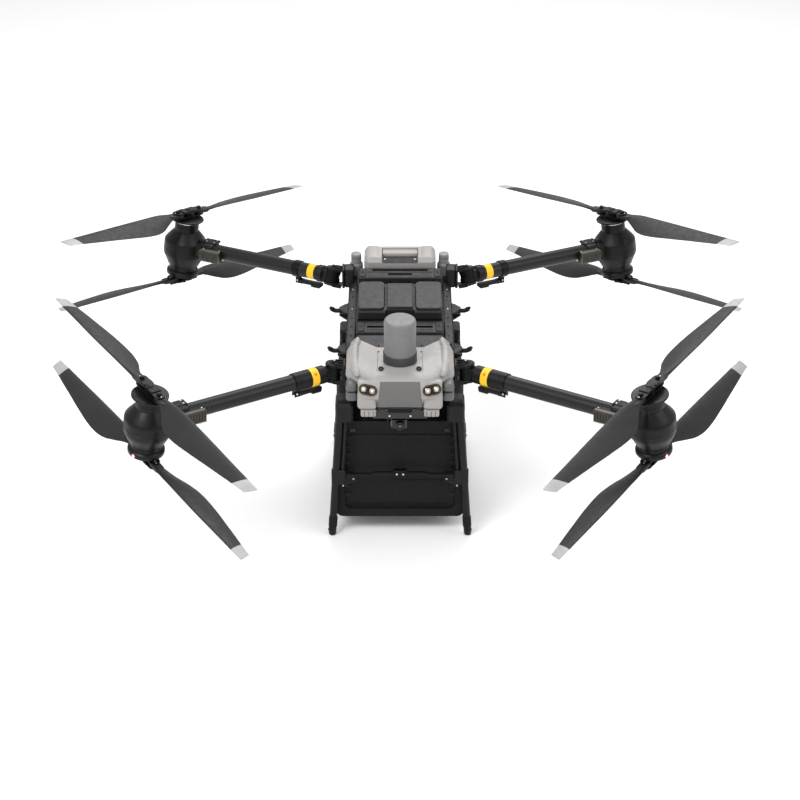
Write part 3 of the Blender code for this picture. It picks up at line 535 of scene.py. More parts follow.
# ---- pieces ----
class Piece:
    """Closed shapes with their surfaces, gathered into one object that rides on a body."""

    def __init__(self):
        self.shape = new_shape()
        self.coats = []

    def add(self, part, coat, smooth=True):
        bmesh.ops.recalc_face_normals(part, faces=part.faces)
        if part.calc_volume(signed=True) < 0.0:
            bmesh.ops.reverse_faces(part, faces=part.faces)
        if coat not in self.coats:
            self.coats.append(coat)
        index = self.coats.index(coat)
        for face in part.faces:
            face.material_index = index
            face.smooth = smooth
        self.merge(part)
        return self

    def merge(self, part):
        passed = bpy.data.meshes.new("passed")
        part.to_mesh(passed)
        part.free()
        self.shape.from_mesh(passed)
        bpy.data.meshes.remove(passed)

    def mirrored(self):
        other = Piece()
        other.shape = self.shape.copy()
        other.shape.transform(Matrix.Diagonal((-1.0, 1.0, 1.0, 1.0)))
        bmesh.ops.reverse_faces(other.shape, faces=other.shape.faces)
        other.coats = list(self.coats)
        return other

    def cover(self, node, body="airframe", sharp=35.0):
        """Finishes the piece as the look of one node."""
        self.finish(f"{node}_look", body, node, sharp=sharp)

    def finish(self, name, body, *nodes, sharp=35.0):
        mesh = bpy.data.meshes.new(name)
        self.shape.to_mesh(mesh)
        self.shape.free()
        for coat in self.coats:
            mesh.materials.append(coat)
        mesh.set_sharp_from_angle(angle=math.radians(sharp))
        made = bpy.data.objects.new(name, mesh)
        bpy.context.scene.collection.objects.link(made)
        evened = made.modifiers.new("even_normals", "WEIGHTED_NORMAL")
        evened.keep_sharp = True
        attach(made, body)
        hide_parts(*nodes)


def both(kind, piece, body, node):
    """The right-hand piece and its reflection; body and node are name patterns with a side in them."""
    other = piece.mirrored()
    for side, made in (("right", piece), ("left", other)):
        made.finish(f"{kind}_{side}", body.format(side=side), node.format(side=side))


def carved(solid, tools, coats):
    """A new bmesh with tools cut out of a solid; faces left by a tool keep that tool's coat number."""
    def temporary(shape, number):
        bmesh.ops.recalc_face_normals(shape, faces=shape.faces)
        if shape.calc_volume(signed=True) < 0.0:
            bmesh.ops.reverse_faces(shape, faces=shape.faces)
        for face in shape.faces:
            face.material_index = number
        mesh = bpy.data.meshes.new("carving")
        shape.to_mesh(mesh)
        shape.free()
        for coat in coats:
            mesh.materials.append(coat)
        made = bpy.data.objects.new("carving", mesh)
        bpy.context.scene.collection.objects.link(made)
        return made

    base = temporary(solid, 0)
    used = []
    for tool, number in tools:
        other = temporary(tool, number)
        step = base.modifiers.new("cut", "BOOLEAN")
        step.operation = "DIFFERENCE"
        step.solver = "EXACT"
        step.object = other
        used.append(other)
    bpy.context.view_layer.update()
    seen = base.evaluated_get(bpy.context.evaluated_depsgraph_get())
    result = new_shape()
    result.from_mesh(seen.to_mesh())
    for item in (base, *used):
        bpy.data.objects.remove(item)
    return result


def add_carved(piece, solid, tools, coats, smooth=False):
    """Carves a solid and gathers it with its several coats."""
    shape = carved(solid, tools, coats)
    numbers = []
    for coat in coats:
        if coat not in piece.coats:
            piece.coats.append(coat)
        numbers.append(piece.coats.index(coat))
    for face in shape.faces:
        face.material_index = numbers[face.material_index]
        face.smooth = smooth
    piece.merge(shape)


def screw(piece, spot, outward, radius, coat=STEEL, proud=0.0012):
    """A small socket-head screw standing a little out of a surface."""
    profile = (
        (0.0, -0.002), (radius, -0.002), (radius, proud * 0.6),
        (radius * 0.86, proud), (radius * 0.52, proud),
        (radius * 0.44, proud * 0.2), (0.0, proud * 0.2),
    )
    piece.add(lathe(profile, facing(spot, outward), 16), coat)


# ---- rotors ----
BLADE_TABLE = (
    (0.078, 0.033, 0.5, 0.0, 0.0135),
    (0.1, 0.042, 0.46, 10.0, 0.013),
    (0.135, 0.064, 0.38, 20.0, 0.012),
    (0.185, 0.094, 0.28, 21.0, 0.011),
    (0.25, 0.105, 0.25, 18.0, 0.01),
    (0.36, 0.094, 0.27, 14.0, 0.008),
    (0.5, 0.07, 0.32, 11.0, 0.006),
    (0.6, 0.054, 0.38, 9.0, 0.005),
    (0.66, 0.044, 0.42, 8.0, 0.004),
)
TIP_START = 0.592


def blade_values(distance):
    """Chord, share ahead of the pitch line, pitch and thickness at one distance from the axis."""
    last = len(BLADE_TABLE) - 1
    i = max(k for k in range(last) if BLADE_TABLE[k][0] <= distance + 1e-9)
    p0, p1, p2, p3 = (BLADE_TABLE[min(max(i + k, 0), last)] for k in (-1, 0, 1, 2))
    t = (distance - p1[0]) / (p2[0] - p1[0])
    values = []
    for column in range(1, 5):
        a, b, c, d = p0[column], p1[column], p2[column], p3[column]
        slope_b, slope_c = (c - a) / 2, (d - b) / 2
        curve = (2 * t ** 3 - 3 * t ** 2 + 1) * b + (t ** 3 - 2 * t ** 2 + t) * slope_b
        values.append(curve + (-2 * t ** 3 + 3 * t ** 2) * c + (t ** 3 - t ** 2) * slope_c)
    return values


def blade_ring(distance, hand, points=22):
    chord, ahead, pitch, thickness = blade_values(distance)
    lean = math.radians(pitch)
    sweep = -0.35 * max(0.0, min(1.0, (distance - 0.54) / 0.06))
    ring = []
    for i in range(points):
        angle = math.tau * i / points
        share = (1 - math.cos(angle)) / 2
        height = math.sqrt(share) * (1 - share) / 0.385
        rise = thickness * height * (0.62 if angle <= math.pi else -0.38) + math.sin(angle) * 0.0004
        across = (share - ahead) * chord
        ring.append((
            distance + sweep * across,
            hand * (across * math.cos(lean) + rise * math.sin(lean)),
            rise * math.cos(lean) - across * math.sin(lean),
        ))
    return ring


def blade_piece(matrix, hand):
    """A blade: flat root tongue, twisted composite wing and pale tip."""
    steps = 26
    inner = [0.078 + (TIP_START - 0.078) * i / steps for i in range(steps + 1)]
    outer = [TIP_START, 0.61, 0.628, 0.642, 0.652]
    piece = Piece()
    piece.add(skin([blade_ring(d, hand) for d in inner], True, matrix), BLADE)
    piece.add(skin([blade_ring(d, hand) for d in outer], True, matrix), TIP_GREY)
    start, end = BLADE_PIVOT_RADIUS - 0.017, 0.112
    outline = [((start + end) / 2 + x, y) for x, y in stadium((end - start) / 2, 0.0168)]
    piece.add(plate(outline, 0.0068, matrix, 0.0012), BLADE)
    pivot = matrix @ Matrix.Translation((BLADE_PIVOT_RADIUS, 0.0, 0.0))
    piece.add(lathe(mm((7.2, 7), (10.5, 7), (10.5, -7), (7.2, -7)), pivot, 24), DARK_METAL)
    return piece


def hub_piece(matrix, down):
    """A hub: clamp plates, turned boss, shoulders, pivot bolts and screws; down is -1 for a lower rotor."""
    piece = Piece()
    outward = matrix.col[2].to_3d()
    for sign in (-1, 1):
        level = matrix @ Matrix.Translation((0.0, 0.0, sign * HUB_PLATE_LEVEL))
        outline = []
        for x, y in stadium(0.079, 0.021, 10):
            waist = 1.0 - 0.2 * max(0.0, 1.0 - abs(x) / 0.045)
            outline.append((x, y * waist))
        piece.add(plate(outline, 0.0025, level, 0.0009), DARK_METAL)
    boss = mm(
        (0, 19.5), (9, 19.5), (10.5, 18), (10.5, 16.5), (18, 16), (18.5, 15), (18.5, -18), (17.5, -19.5),
        (0, -19.5),
    )
    piece.add(lathe(boss, matrix, 40), DARK_METAL)
    for side in (-1, 1):
        spot = matrix @ Matrix.Translation((side * BLADE_PIVOT_RADIUS, 0.0, 0.0))
        head = mm((0, 21.5), (6.8, 21.5), (7.8, 20.5), (7.8, 14.5), (10, 14), (10, 12.3), (0, 12.3))
        flip = Matrix.Diagonal((1.0, 1.0, down, 1.0))
        piece.add(lathe(head, spot @ flip, 6), BLACK_PLASTIC)
        piece.add(lathe(mm((0, 15.5), (9.2, 15.5), (9.6, 15), (9.6, 12), (0, 12)), spot, 28), DARK_METAL)
        nut = mm((0, -12.3), (8.5, -12.3), (8.5, -16.5), (7, -17.5), (0, -17.5))
        piece.add(lathe(nut, spot @ flip, 6), STEEL)
        for across in (-0.013, 0.013):
            screw(piece, matrix @ Vector((side * 0.03, across, 0.0123)), outward, 0.003, DARK_METAL)
        screw(piece, matrix @ Vector((side * 0.072, 0.0, 0.0123)), outward, TINY_SCREW)
        for low, high in ((-0.016, -0.0122), (0.0122, 0.016)):
            middle = side * 0.026
            shoulder = (middle - 0.0125, -0.02, low), (middle + 0.0125, 0.02, high)
            piece.add(block(*shoulder, 0.0015, matrix), BLACK_PLASTIC)
    return piece


def make_rotors():
    hands = {("front", "upper"): -1, ("front", "lower"): 1, ("rear", "upper"): 1, ("rear", "lower"): -1}
    for (corner, level), hand in hands.items():
        matrix = rotor_frame(corner, level)
        hub = f"{level}_hub_{corner}"
        body = f"{level}_rotor_{corner}_{{side}}"
        both(hub + "_look", hub_piece(matrix, 1 if level == "upper" else -1), body, hub + "_{side}")
        for letter, turn in (("a", 0.0), ("b", math.pi)):
            name = f"{level}_blade_{letter}_{corner}"
            along = matrix @ Matrix.Rotation(turn, 4, "Z")
            both(name + "_look", blade_piece(along, hand), name + "_{side}", name + "_{side}")


# ---- motors and arms ----
def motor_piece(corner):
    """The double motor housing: discs, a bright neck ring, swelling body, screws, arm socket and lamp."""
    axis = rotor_axis(corner)
    matrix, length = arm_frame(corner)
    inward = -matrix.col[0].to_3d()
    top = place(-MOTOR_SIDE, SIGN[corner] * MOTOR_FORWARD, 0.0) - axis * 0.0198
    housing = frame_on(axis, inward, top)
    profile = mm(
        (0, 0), (62, 0), (65.5, -0.6), (67, -2), (67, -5.8), (65.5, -7.4), (49, -8.6), (46.2, -11),
        (46.2, -17), (48.6, -17.6), (49.2, -19), (49.2, -29), (48, -29.8), (48, -31.8), (49.2, -32.6),
        (49.2, -52), (53, -55), (64, -67), (75, -80), (82.5, -90), (85.5, -95), (86.8, -101), (87.2, -129),
        (86.2, -130), (86.2, -131.6), (87.2, -132.6), (86.6, -150), (84.6, -158), (77, -174), (69, -190),
        (62, -204), (59.2, -209.5), (58, -213), (58, -220), (56.5, -221), (56.5, -223.6), (60, -224.4),
        (66, -230), (67, -232.5), (67, -243), (65.5, -246.4), (0, -246.4),
    )
    piece = Piece()
    piece.add(lathe(profile, housing, 72), MOTOR_BLACK)
    ring = mm((44, -10), (50, -10.4), (50.5, -13), (50, -16), (44, -16.4))
    piece.add(hoop(ring, housing, 64), STEEL)
    for height in (-0.06, -0.205):
        for step in range(10):
            around = Matrix.Rotation(math.tau * step / 10, 4, "Z")
            radius = 0.0555 if height > -0.1 else 0.0622
            spot = housing @ around @ Vector((radius, 0.0, height))
            outward = (housing @ around).to_3x3() @ Vector((0.62, 0.0, 0.78 if height > -0.1 else -0.78))
            screw(piece, spot, outward, 0.0026, DARK_METAL)
    socket = mm((0, 0), (40, 0), (42.5, -3), (42.5, -24), (39.5, -28), (39.5, -52), (0, -52))
    along = matrix @ Matrix.Translation((length - 0.103, 0.0, 0.0)) @ Matrix.Rotation(-math.pi / 2, 4, "Y")
    piece.add(lathe(socket, along, 40), MOTOR_BLACK)
    lamp_facing = Matrix.Rotation(math.radians(62.0 if corner == "rear" else 200.0), 4, "Z")
    lamp = housing @ lamp_facing @ Matrix.Translation((0.0655, 0.0, -0.2375)) @ ALONG_X
    piece.add(lathe(mm((0, 2.4), (7.2, 2.4), (8.2, 1.2), (8.2, -3), (0, -3)), lamp, 24), LED_RED)
    piece.add(lathe(mm((0, 3.2), (3.4, 3.2), (4.6, 2.2), (4.6, -2), (0, -2)), lamp, 20), LED_WHITE)
    return piece


def arm_piece(corner):
    """An arm: woven tube, root fitting with its band, end clamp, speed controller and hinge knuckle."""
    matrix, length = arm_frame(corner)

    def on(x, y, z):
        return matrix @ Vector((x, y, z))

    piece = Piece()
    along = matrix @ ALONG_X
    start = 0.052
    far = length - 0.098
    tube_profile = [(TUBE_RADIUS, start + (length - 0.08 - start) * i / 24) for i in range(25)]
    piece.add(lathe(tube_profile, along, 56), CARBON)
    sleeve_end = 0.176 if corner == "front" else 0.066
    sleeve = (
        (0.0, 0.04), (0.0325, 0.04), (0.0345, 0.043), (0.0345, sleeve_end - 0.006),
        (0.0338, sleeve_end - 0.001), (0.0305, sleeve_end), (0.0, sleeve_end),
    )
    piece.add(lathe(sleeve, along, 56), BLACK_PLASTIC)
    outside = 0.0345 if corner == "front" else TUBE_RADIUS
    band = (
        (outside - 0.001, 0.076), (outside + 0.0006, 0.0762), (outside + 0.0006, 0.1058),
        (outside - 0.001, 0.106),
    )
    piece.add(hoop(band, along, 56), YELLOW)
    collar = mm((30, 147), (33.8, 148), (34.5, 150), (34.5, 174), (33.8, 176), (30, 177))
    piece.add(hoop(collar, along, 48), DARK_METAL)
    if corner == "front":
        for across in (-1.0, 1.0):
            rib = (0.12, across * 0.03 - 0.003, -0.006), (0.17, across * 0.03 + 0.003, 0.006)
            piece.add(block(*rib, 0.002, matrix), BLACK_PLASTIC)
        around = Matrix.Rotation(math.radians(-48.0), 4, "X")
        mark = matrix @ Matrix.Translation((0.0905, 0.0, 0.0)) @ around
        disc = mm((0, 36.2), (6.2, 36), (6.6, 35), (6.6, 33), (0, 33))
        piece.add(lathe(disc, mark, 24), ORANGE)
    for low, high, bevel, coat in (
        ((0.15, -0.007, -0.052), (0.174, 0.007, -0.03), 0.003, DARK_METAL),
        ((far - 0.055, -0.034, -0.034), (far, 0.034, 0.034), 0.01, BLACK_PLASTIC),
        ((far - 0.06, -0.034, 0.028), (far + 0.006, 0.006, 0.037), 0.003, BLACK_PLASTIC),
    ):
        piece.add(block(low, high, bevel, matrix), coat)
    for x in (far - 0.046, far - 0.01):
        for y in (-0.026, -0.004):
            screw(piece, on(x, y, 0.037), matrix.col[2].to_3d(), SMALL_SCREW)
    base = block((far - 0.104, 0.03, -0.023), (far - 0.012, 0.05, 0.025), 0.004, matrix)
    piece.add(base, BLACK_PLASTIC)
    fins = 15
    for index in range(fins):
        x = far - 0.102 + 0.086 * index / (fins - 1)
        fin = block((x, 0.046, -0.0225), (x + 0.0026, 0.066, 0.0245), 0.0008, matrix, 2)
        piece.add(fin, HEAT_SINK)
    for z in (-0.024, 0.0205):
        rail = block((far - 0.104, 0.044, z), (far - 0.013, 0.056, z + 0.0045), 0.0012, matrix)
        piece.add(rail, HEAT_SINK)
    for x in (far - 0.096, far - 0.022):
        screw(piece, on(x, 0.04, 0.025), matrix.col[2].to_3d(), TINY_SCREW)
    hinge = hinge_frame(corner)
    neck_frame = frame_on(hinge.col[2].to_3d(), matrix.col[0].to_3d(), matrix.translation)
    neck = block((0.01, -0.022, -0.019), (0.062, 0.022, 0.019), 0.005, neck_frame)
    piece.add(neck, BLACK_PLASTIC)
    for y in (-0.0225, 0.0225):
        for x in (0.034, 0.046):
            rib = block((x, y - 0.003, -0.017), (x + 0.004, y + 0.003, 0.017), 0.001, neck_frame)
            piece.add(rib, BLACK_PLASTIC)
    half = KNUCKLE_HALF_HEIGHT
    knuckle = (
        (0.0, half), (KNUCKLE_RADIUS - 0.002, half), (KNUCKLE_RADIUS, half - 0.002), (KNUCKLE_RADIUS, 0.01),
        (KNUCKLE_RADIUS - 0.0025, 0.008), (KNUCKLE_RADIUS - 0.0025, -0.008), (KNUCKLE_RADIUS, -0.01),
        (KNUCKLE_RADIUS, 0.002 - half), (KNUCKLE_RADIUS - 0.002, -half), (0.0, -half),
    )
    piece.add(lathe(knuckle, hinge, 44), DARK_METAL)
    return piece


def bracket_piece(corner):
    """The clevis an arm folds in: ribbed web, two lugs and the headed pin."""
    hinge = hinge_frame(corner)
    piece = Piece()
    half = KNUCKLE_HALF_HEIGHT
    for sign in (-1, 1):
        low, high = sorted((sign * (half + 0.0003), sign * (half + 0.012)))
        radius = KNUCKLE_RADIUS + 0.002
        lug = ((0.0, high), (radius - 0.003, high), (radius, high - 0.003), (radius, low), (0.0, low))
        piece.add(lathe(lug, hinge, 40), BLACK_PLASTIC)
        piece.add(block((0.01, -0.028, low), (0.042, 0.028, high), 0.0025, hinge), BLACK_PLASTIC)
        for y in (-0.022, 0.0, 0.022):
            top = high if sign > 0 else low
            foot, crest = sorted((top, top + sign * 0.006))
            rib = (0.004, y - 0.002, foot), (0.04, y + 0.002, crest)
            piece.add(block(*rib, 0.0008, hinge), BLACK_PLASTIC)
    root = hinge.translation
    low = (root.x + 0.0375, root.y - 0.032, root.z - 0.042)
    high = (-SEAT[corner] - 0.0003, root.y + 0.032, root.z + 0.04)
    piece.add(block(low, high, 0.004), BLACK_PLASTIC)
    cap = mm((0, 45), (8.5, 45), (10.5, 43.5), (11, 40.5), (15, 39.5), (15.5, 36.5), (0, 35.5))
    piece.add(lathe(cap, hinge, 32), DARK_METAL)
    piece.add(lathe(mm((0, 45.8), (4.2, 45.8), (4.8, 45), (0, 44.5)), hinge, 6), STEEL)
    foot = mm((0, -36), (12, -36), (12, -41), (10, -42.5), (0, -42.5))
    piece.add(lathe(foot, hinge, 6), STEEL)
    for y in (-0.024, 0.024):
        for z in (-0.03, 0.03):
            spot = Vector((root.x + 0.038, root.y + y, root.z + z))
            screw(piece, spot, -SIDEWAYS, SCREW)
    return piece


def lever_piece(corner):
    """The latch lever under an arm's root, with its ribbed grip and fork pin."""
    matrix, _ = arm_frame(corner)
    piece = Piece()
    piece.add(block((0.052, -0.011, -0.06), (0.146, 0.011, -0.045), 0.004, matrix), BLACK_PLASTIC)
    for side in (-1, 1):
        low, high = sorted((side * 0.0075, side * 0.0115))
        piece.add(block((0.138, low, -0.06), (0.1715, high, -0.0445), 0.0015, matrix), BLACK_PLASTIC)
    piece.add(block((0.056, -0.016, -0.064), (0.1, 0.016, -0.052), 0.005, matrix), BLACK_PLASTIC)
    for index in range(6):
        x = 0.061 + index * 0.0062
        piece.add(block((x, -0.015, -0.065), (x + 0.0028, 0.015, -0.061), 0.001, matrix), RUBBER)
    pin = matrix @ Vector((0.162, -0.0135, -0.047)), matrix @ Vector((0.162, 0.0135, -0.047))
    piece.add(rod(*pin, 0.0036, 20, 0.0006), STEEL)
    return piece


def make_arms():
    for corner in ("front", "rear"):
        body = f"arm_{corner}_{{side}}"
        both(f"motor_{corner}_look", motor_piece(corner), body, f"motor_{corner}_{{side}}")
        both(f"arm_{corner}_look", arm_piece(corner), body, f"arm_{corner}_{{side}}")
        both(f"bracket_{corner}_look", bracket_piece(corner), "airframe", f"arm_bracket_{corner}_{{side}}")
        lever = f"latch_lever_{corner}"
        both(lever + "_look", lever_piece(corner), lever + "_{side}", lever + "_{side}")


# ---- nose ----
def bounds_of(node):
    low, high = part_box(node)
    return Vector(low), Vector(high)


def softened_shape(node, bevel, segments=2, angle=28.0):
    """A copy of the part's own body with merged flats and rounded edges."""
    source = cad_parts[node]
    shape = bmesh.new()
    shape.from_mesh(source.data)
    shape.transform(source.matrix_world)
    bmesh.ops.remove_doubles(shape, verts=shape.verts, dist=1e-6)
    bmesh.ops.dissolve_limit(shape, angle_limit=math.radians(1.0), verts=shape.verts, edges=shape.edges)
    mesh = bpy.data.meshes.new("soft")
    shape.to_mesh(mesh)
    shape.free()
    holder = bpy.data.objects.new("soft", mesh)
    bpy.context.scene.collection.objects.link(holder)
    round_off = holder.modifiers.new("round", "BEVEL")
    round_off.width = bevel
    round_off.segments = segments
    round_off.limit_method = "ANGLE"
    round_off.angle_limit = math.radians(angle)
    round_off.use_clamp_overlap = True
    round_off.harden_normals = False
    bpy.context.view_layer.update()
    seen = holder.evaluated_get(bpy.context.evaluated_depsgraph_get())
    result = new_shape()
    result.from_mesh(seen.to_mesh())
    bpy.data.objects.remove(holder)
    for face in result.faces:
        face.material_index = 0
        face.smooth = True
    return result


def softened(node, coat, bevel, segments=2, angle=28.0):
    """A new piece that starts as a softened copy of one body."""
    return Piece().add(softened_shape(node, bevel, segments, angle), coat)


def panel(piece, low, high, coat, bevel=0.002):
    piece.add(placed_block(low, high, bevel), coat)


def on_front(piece, outline, forward, thick, coat, bevel=0.0008):
    """A flat plate facing forward; its outline is in (side, up)."""
    matrix = at(0.0, forward, 0.0) @ FACING_FRONT
    piece.add(plate(outline, thick / 2, matrix, bevel), coat)


def sensor_eye(piece, spot, outward, radius=0.009):
    """A round camera window with a raised bezel."""
    matrix = facing(spot, outward)
    bezel = (
        (0.0, -0.003), (radius, -0.003), (radius, 0.0012), (radius * 0.9, 0.002), (radius * 0.68, 0.002),
        (radius * 0.6, 0.0006), (0.0, 0.0006),
    )
    piece.add(lathe(bezel, matrix, 32), BLACK_PLASTIC)
    dome = (
        (0.0, 0.0016), (radius * 0.3, 0.0014), (radius * 0.56, 0.0007), (radius * 0.56, 0.0), (0.0, 0.0),
    )
    piece.add(lathe(dome, matrix, 32), LENS)


def front_panel():
    """The long panel down the middle of the nose, narrower at its top, following the curve of the shell."""
    face = mm((496, -106), (508.5, -123), (520.5, -157), (515, -180), (503.5, -206))
    widths = (0.072, 0.074, 0.0775, 0.08, 0.083)
    rings = []
    for share, sink in ((-1.0, 0.003), (-0.975, 0.0), (0.975, 0.0), (1.0, 0.003)):
        outer = [place(share * half, forward - sink, up) for (forward, up), half in zip(face, widths)]
        inner = [place(share * half, forward - 0.012, up) for (forward, up), half in zip(face, widths)]
        rings.append(outer + inner[::-1])
    return skin(rings)


def make_nose():
    """Nose shell with its horns, panel lines, screws, sensors, side pods, cheeks and front panel."""
    piece = Piece()
    wedge = mm((161, 196), (206, 282), (240, 282), (240, 110), (158.5, 110), (158.5, 196))
    tools = []
    for side in (-1, 1):
        spot = at(0.0, 0.0, NOSE_TOP) @ Matrix.Diagonal((1.0, -1.0, 1.0, 1.0))
        tools.append((plate([(side * x, y) for x, y in wedge], 0.04, spot), 1))
    add_carved(piece, softened_shape("nose_shell", 0.0035, 3, 30.0), tools, [SHELL, FRAME_DARK], True)
    filler = mm((492, -110), (503.5, -120), (515, -148), (516, -166))
    for side in (-1, 1):
        rings = []
        for share in (0.08, 0.1535):
            sweep = 0.35 * max(0.0, share - 0.125)
            outer = [place(side * share, forward - sweep, up) for forward, up in filler]
            inner = [place(side * share, forward - 0.03, up) for forward, up in filler]
            rings.append(outer + inner[::-1])
        piece.add(skin(rings), SHELL)
        for forward in (0.2475, 0.297):
            screw(piece, place(side * 0.08, forward, NOSE_TOP), UP, SMALL_SCREW, DARK_METAL)
        low = (side * 0.082, 0.3, NOSE_TOP - 0.0008)
        panel(piece, low, (side * 0.0832, 0.432, NOSE_TOP + 0.0003), SHELL_SEAM_AND_PAINTED_SHADE, 0.0)
        lean = direction(0.0, 0.55, 1.0)
        spot = place(side * 0.069, 0.436, NOSE_TOP + 0.0035)
        rest = facing(spot, lean)
        boss = mm((0, 3), (12.5, 2.8), (14.5, 1), (15, -12), (0, -12))
        piece.add(lathe(boss, rest, 40), SHELL)
        sensor_eye(piece, spot + lean * 0.0034, lean, 0.01)
        for base, tip in ((-0.16, -0.126), (-0.199, -0.163)):
            panel(piece, (side * 0.156, 0.42, base), (side * 0.1985, 0.478, tip), POD_GREY, 0.012)
        panel(piece, (side * 0.084, 0.43, -0.215), (side * 0.156, 0.508, -0.15), SHELL, 0.012)
        panel(piece, (side * 0.086, 0.43, -0.25), (side * 0.144, 0.502, -0.217), SHELL, 0.007)
        # Three dark bars on each cheek front: painted shade standing for slots.
        for step in range(3):
            x = side * (0.098 + 0.016 * step)
            panel(piece, (x - 0.002, 0.498, -0.247), (x + 0.002, 0.5024, -0.224), SHELL_SEAM_AND_PAINTED_SHADE, 0.001)
        ridge = (
            (0.198, 0.16, 0.003, -0.08), (0.225, 0.164, 0.012, -0.0785), (0.262, 0.168, 0.019, -0.0795),
            (0.31, 0.169, 0.021, -0.0815), (0.37, 0.167, 0.02, -0.084), (0.43, 0.16, 0.016, -0.09),
            (0.455, 0.156, 0.008, -0.096),
        )
        rings = []
        for forward, middle, half, crest in ridge:
            ring = []
            for index in range(13):
                angle = math.pi * index / 12
                rise = (crest + 0.104) * math.sin(angle) ** 0.8
                ring.append(place(side * (middle + half * math.cos(angle)), forward, -0.104 + rise))
            rings.append(ring)
        piece.add(skin(rings), SHELL)
    bar = mm((400, -86.5), (412, -84.7), (428, -84.7), (452, -88.5))
    rings = []
    for share in (-0.058, -0.054, 0.054, 0.058):
        sink = 0.003 if abs(share) > 0.055 else 0.0
        outer = [place(share, forward, up - sink) for forward, up in bar]
        rings.append(outer + [place(share, forward, -0.1) for forward, _ in bar[::-1]])
    piece.add(skin(rings), SHELL)
    # Painted shade: the front panel takes the darker grey for the shade on the top-lit nose front.
    piece.add(front_panel(), SHELL_SEAM_AND_PAINTED_SHADE)
    piece.cover("nose_shell", sharp=40.0)

    deck = softened("nose_deck", PANEL_GREY, 0.0015)
    deck.cover("nose_deck")

    cover = softened("radar_cover", PANEL_GREY, 0.002)
    arch = [math.pi * i / 14 for i in range(15)]
    outline = [(0.1 * math.cos(angle), -0.256 + 0.046 * math.sin(angle) ** 0.6) for angle in arch]
    on_front(cover, outline, 0.4975, 0.006, PANEL_GREY, 0.0015)
    slit = [(x, y - 0.2225) for x, y in rounded(0.044, 0.0075, 0.002)]
    on_front(cover, slit, 0.5005, 0.003, NEAR_BLACK_AND_PAINTED_SHADE, 0.0005)
    for side in (-1, 1):
        screw(cover, place(side * 0.0386, 0.5005, -0.245), AHEAD, SCREW)
    cover.cover("radar_cover")


def make_lamps():
    """Twin headlamps: dark bezel, gold-brown rim, two reflectors and two bright lenses."""
    rim_gold = metal("lamp_rim_bronze", (0.28, 0.17, 0.07), 0.32, 0.0004)
    piece = Piece()
    outward = direction(-0.1, 1.0, 0.5)
    slope = Matrix.Rotation(math.radians(-12.0), 4, "Z")
    front = frame_on(outward, SIDEWAYS, place(-0.1165, 0.5065, -0.131)) @ slope
    sunk = front @ Matrix.Translation((0.0, 0.0, -0.006))
    piece.add(plate(stadium(0.0345, 0.02, 10), 0.009, sunk, 0.0015), BLACK_GLOSS)
    outer, inner = stadium(0.0318, 0.0172, 10), stadium(0.0306, 0.016, 10)
    rings = [
        [(x, y, height) for x, y in outline]
        for outline, height in ((outer, 0.0), (outer, 0.004), (inner, 0.004), (inner, 0.0), (outer, 0.0))
    ]
    rim = skin(rings, False, front)
    bmesh.ops.remove_doubles(rim, verts=rim.verts, dist=1e-7)
    piece.add(rim, rim_gold)
    for across in (-0.016, 0.016):
        spot = front @ Matrix.Translation((across, 0.0, 0.0035))
        bowl = mm((0, -2), (10, -2), (10, 1), (9.2, 1.4), (7.2, -0.6), (0, -0.6))
        piece.add(lathe(bowl, spot, 36), MIRROR)
        lens = mm((0, 2.6), (3, 2.2), (5.8, 1), (6.4, -0.6), (0, -0.6))
        piece.add(lathe(lens, spot, 32), LAMP)
    both("headlamp_look", piece, "airframe", "headlamp_{side}")


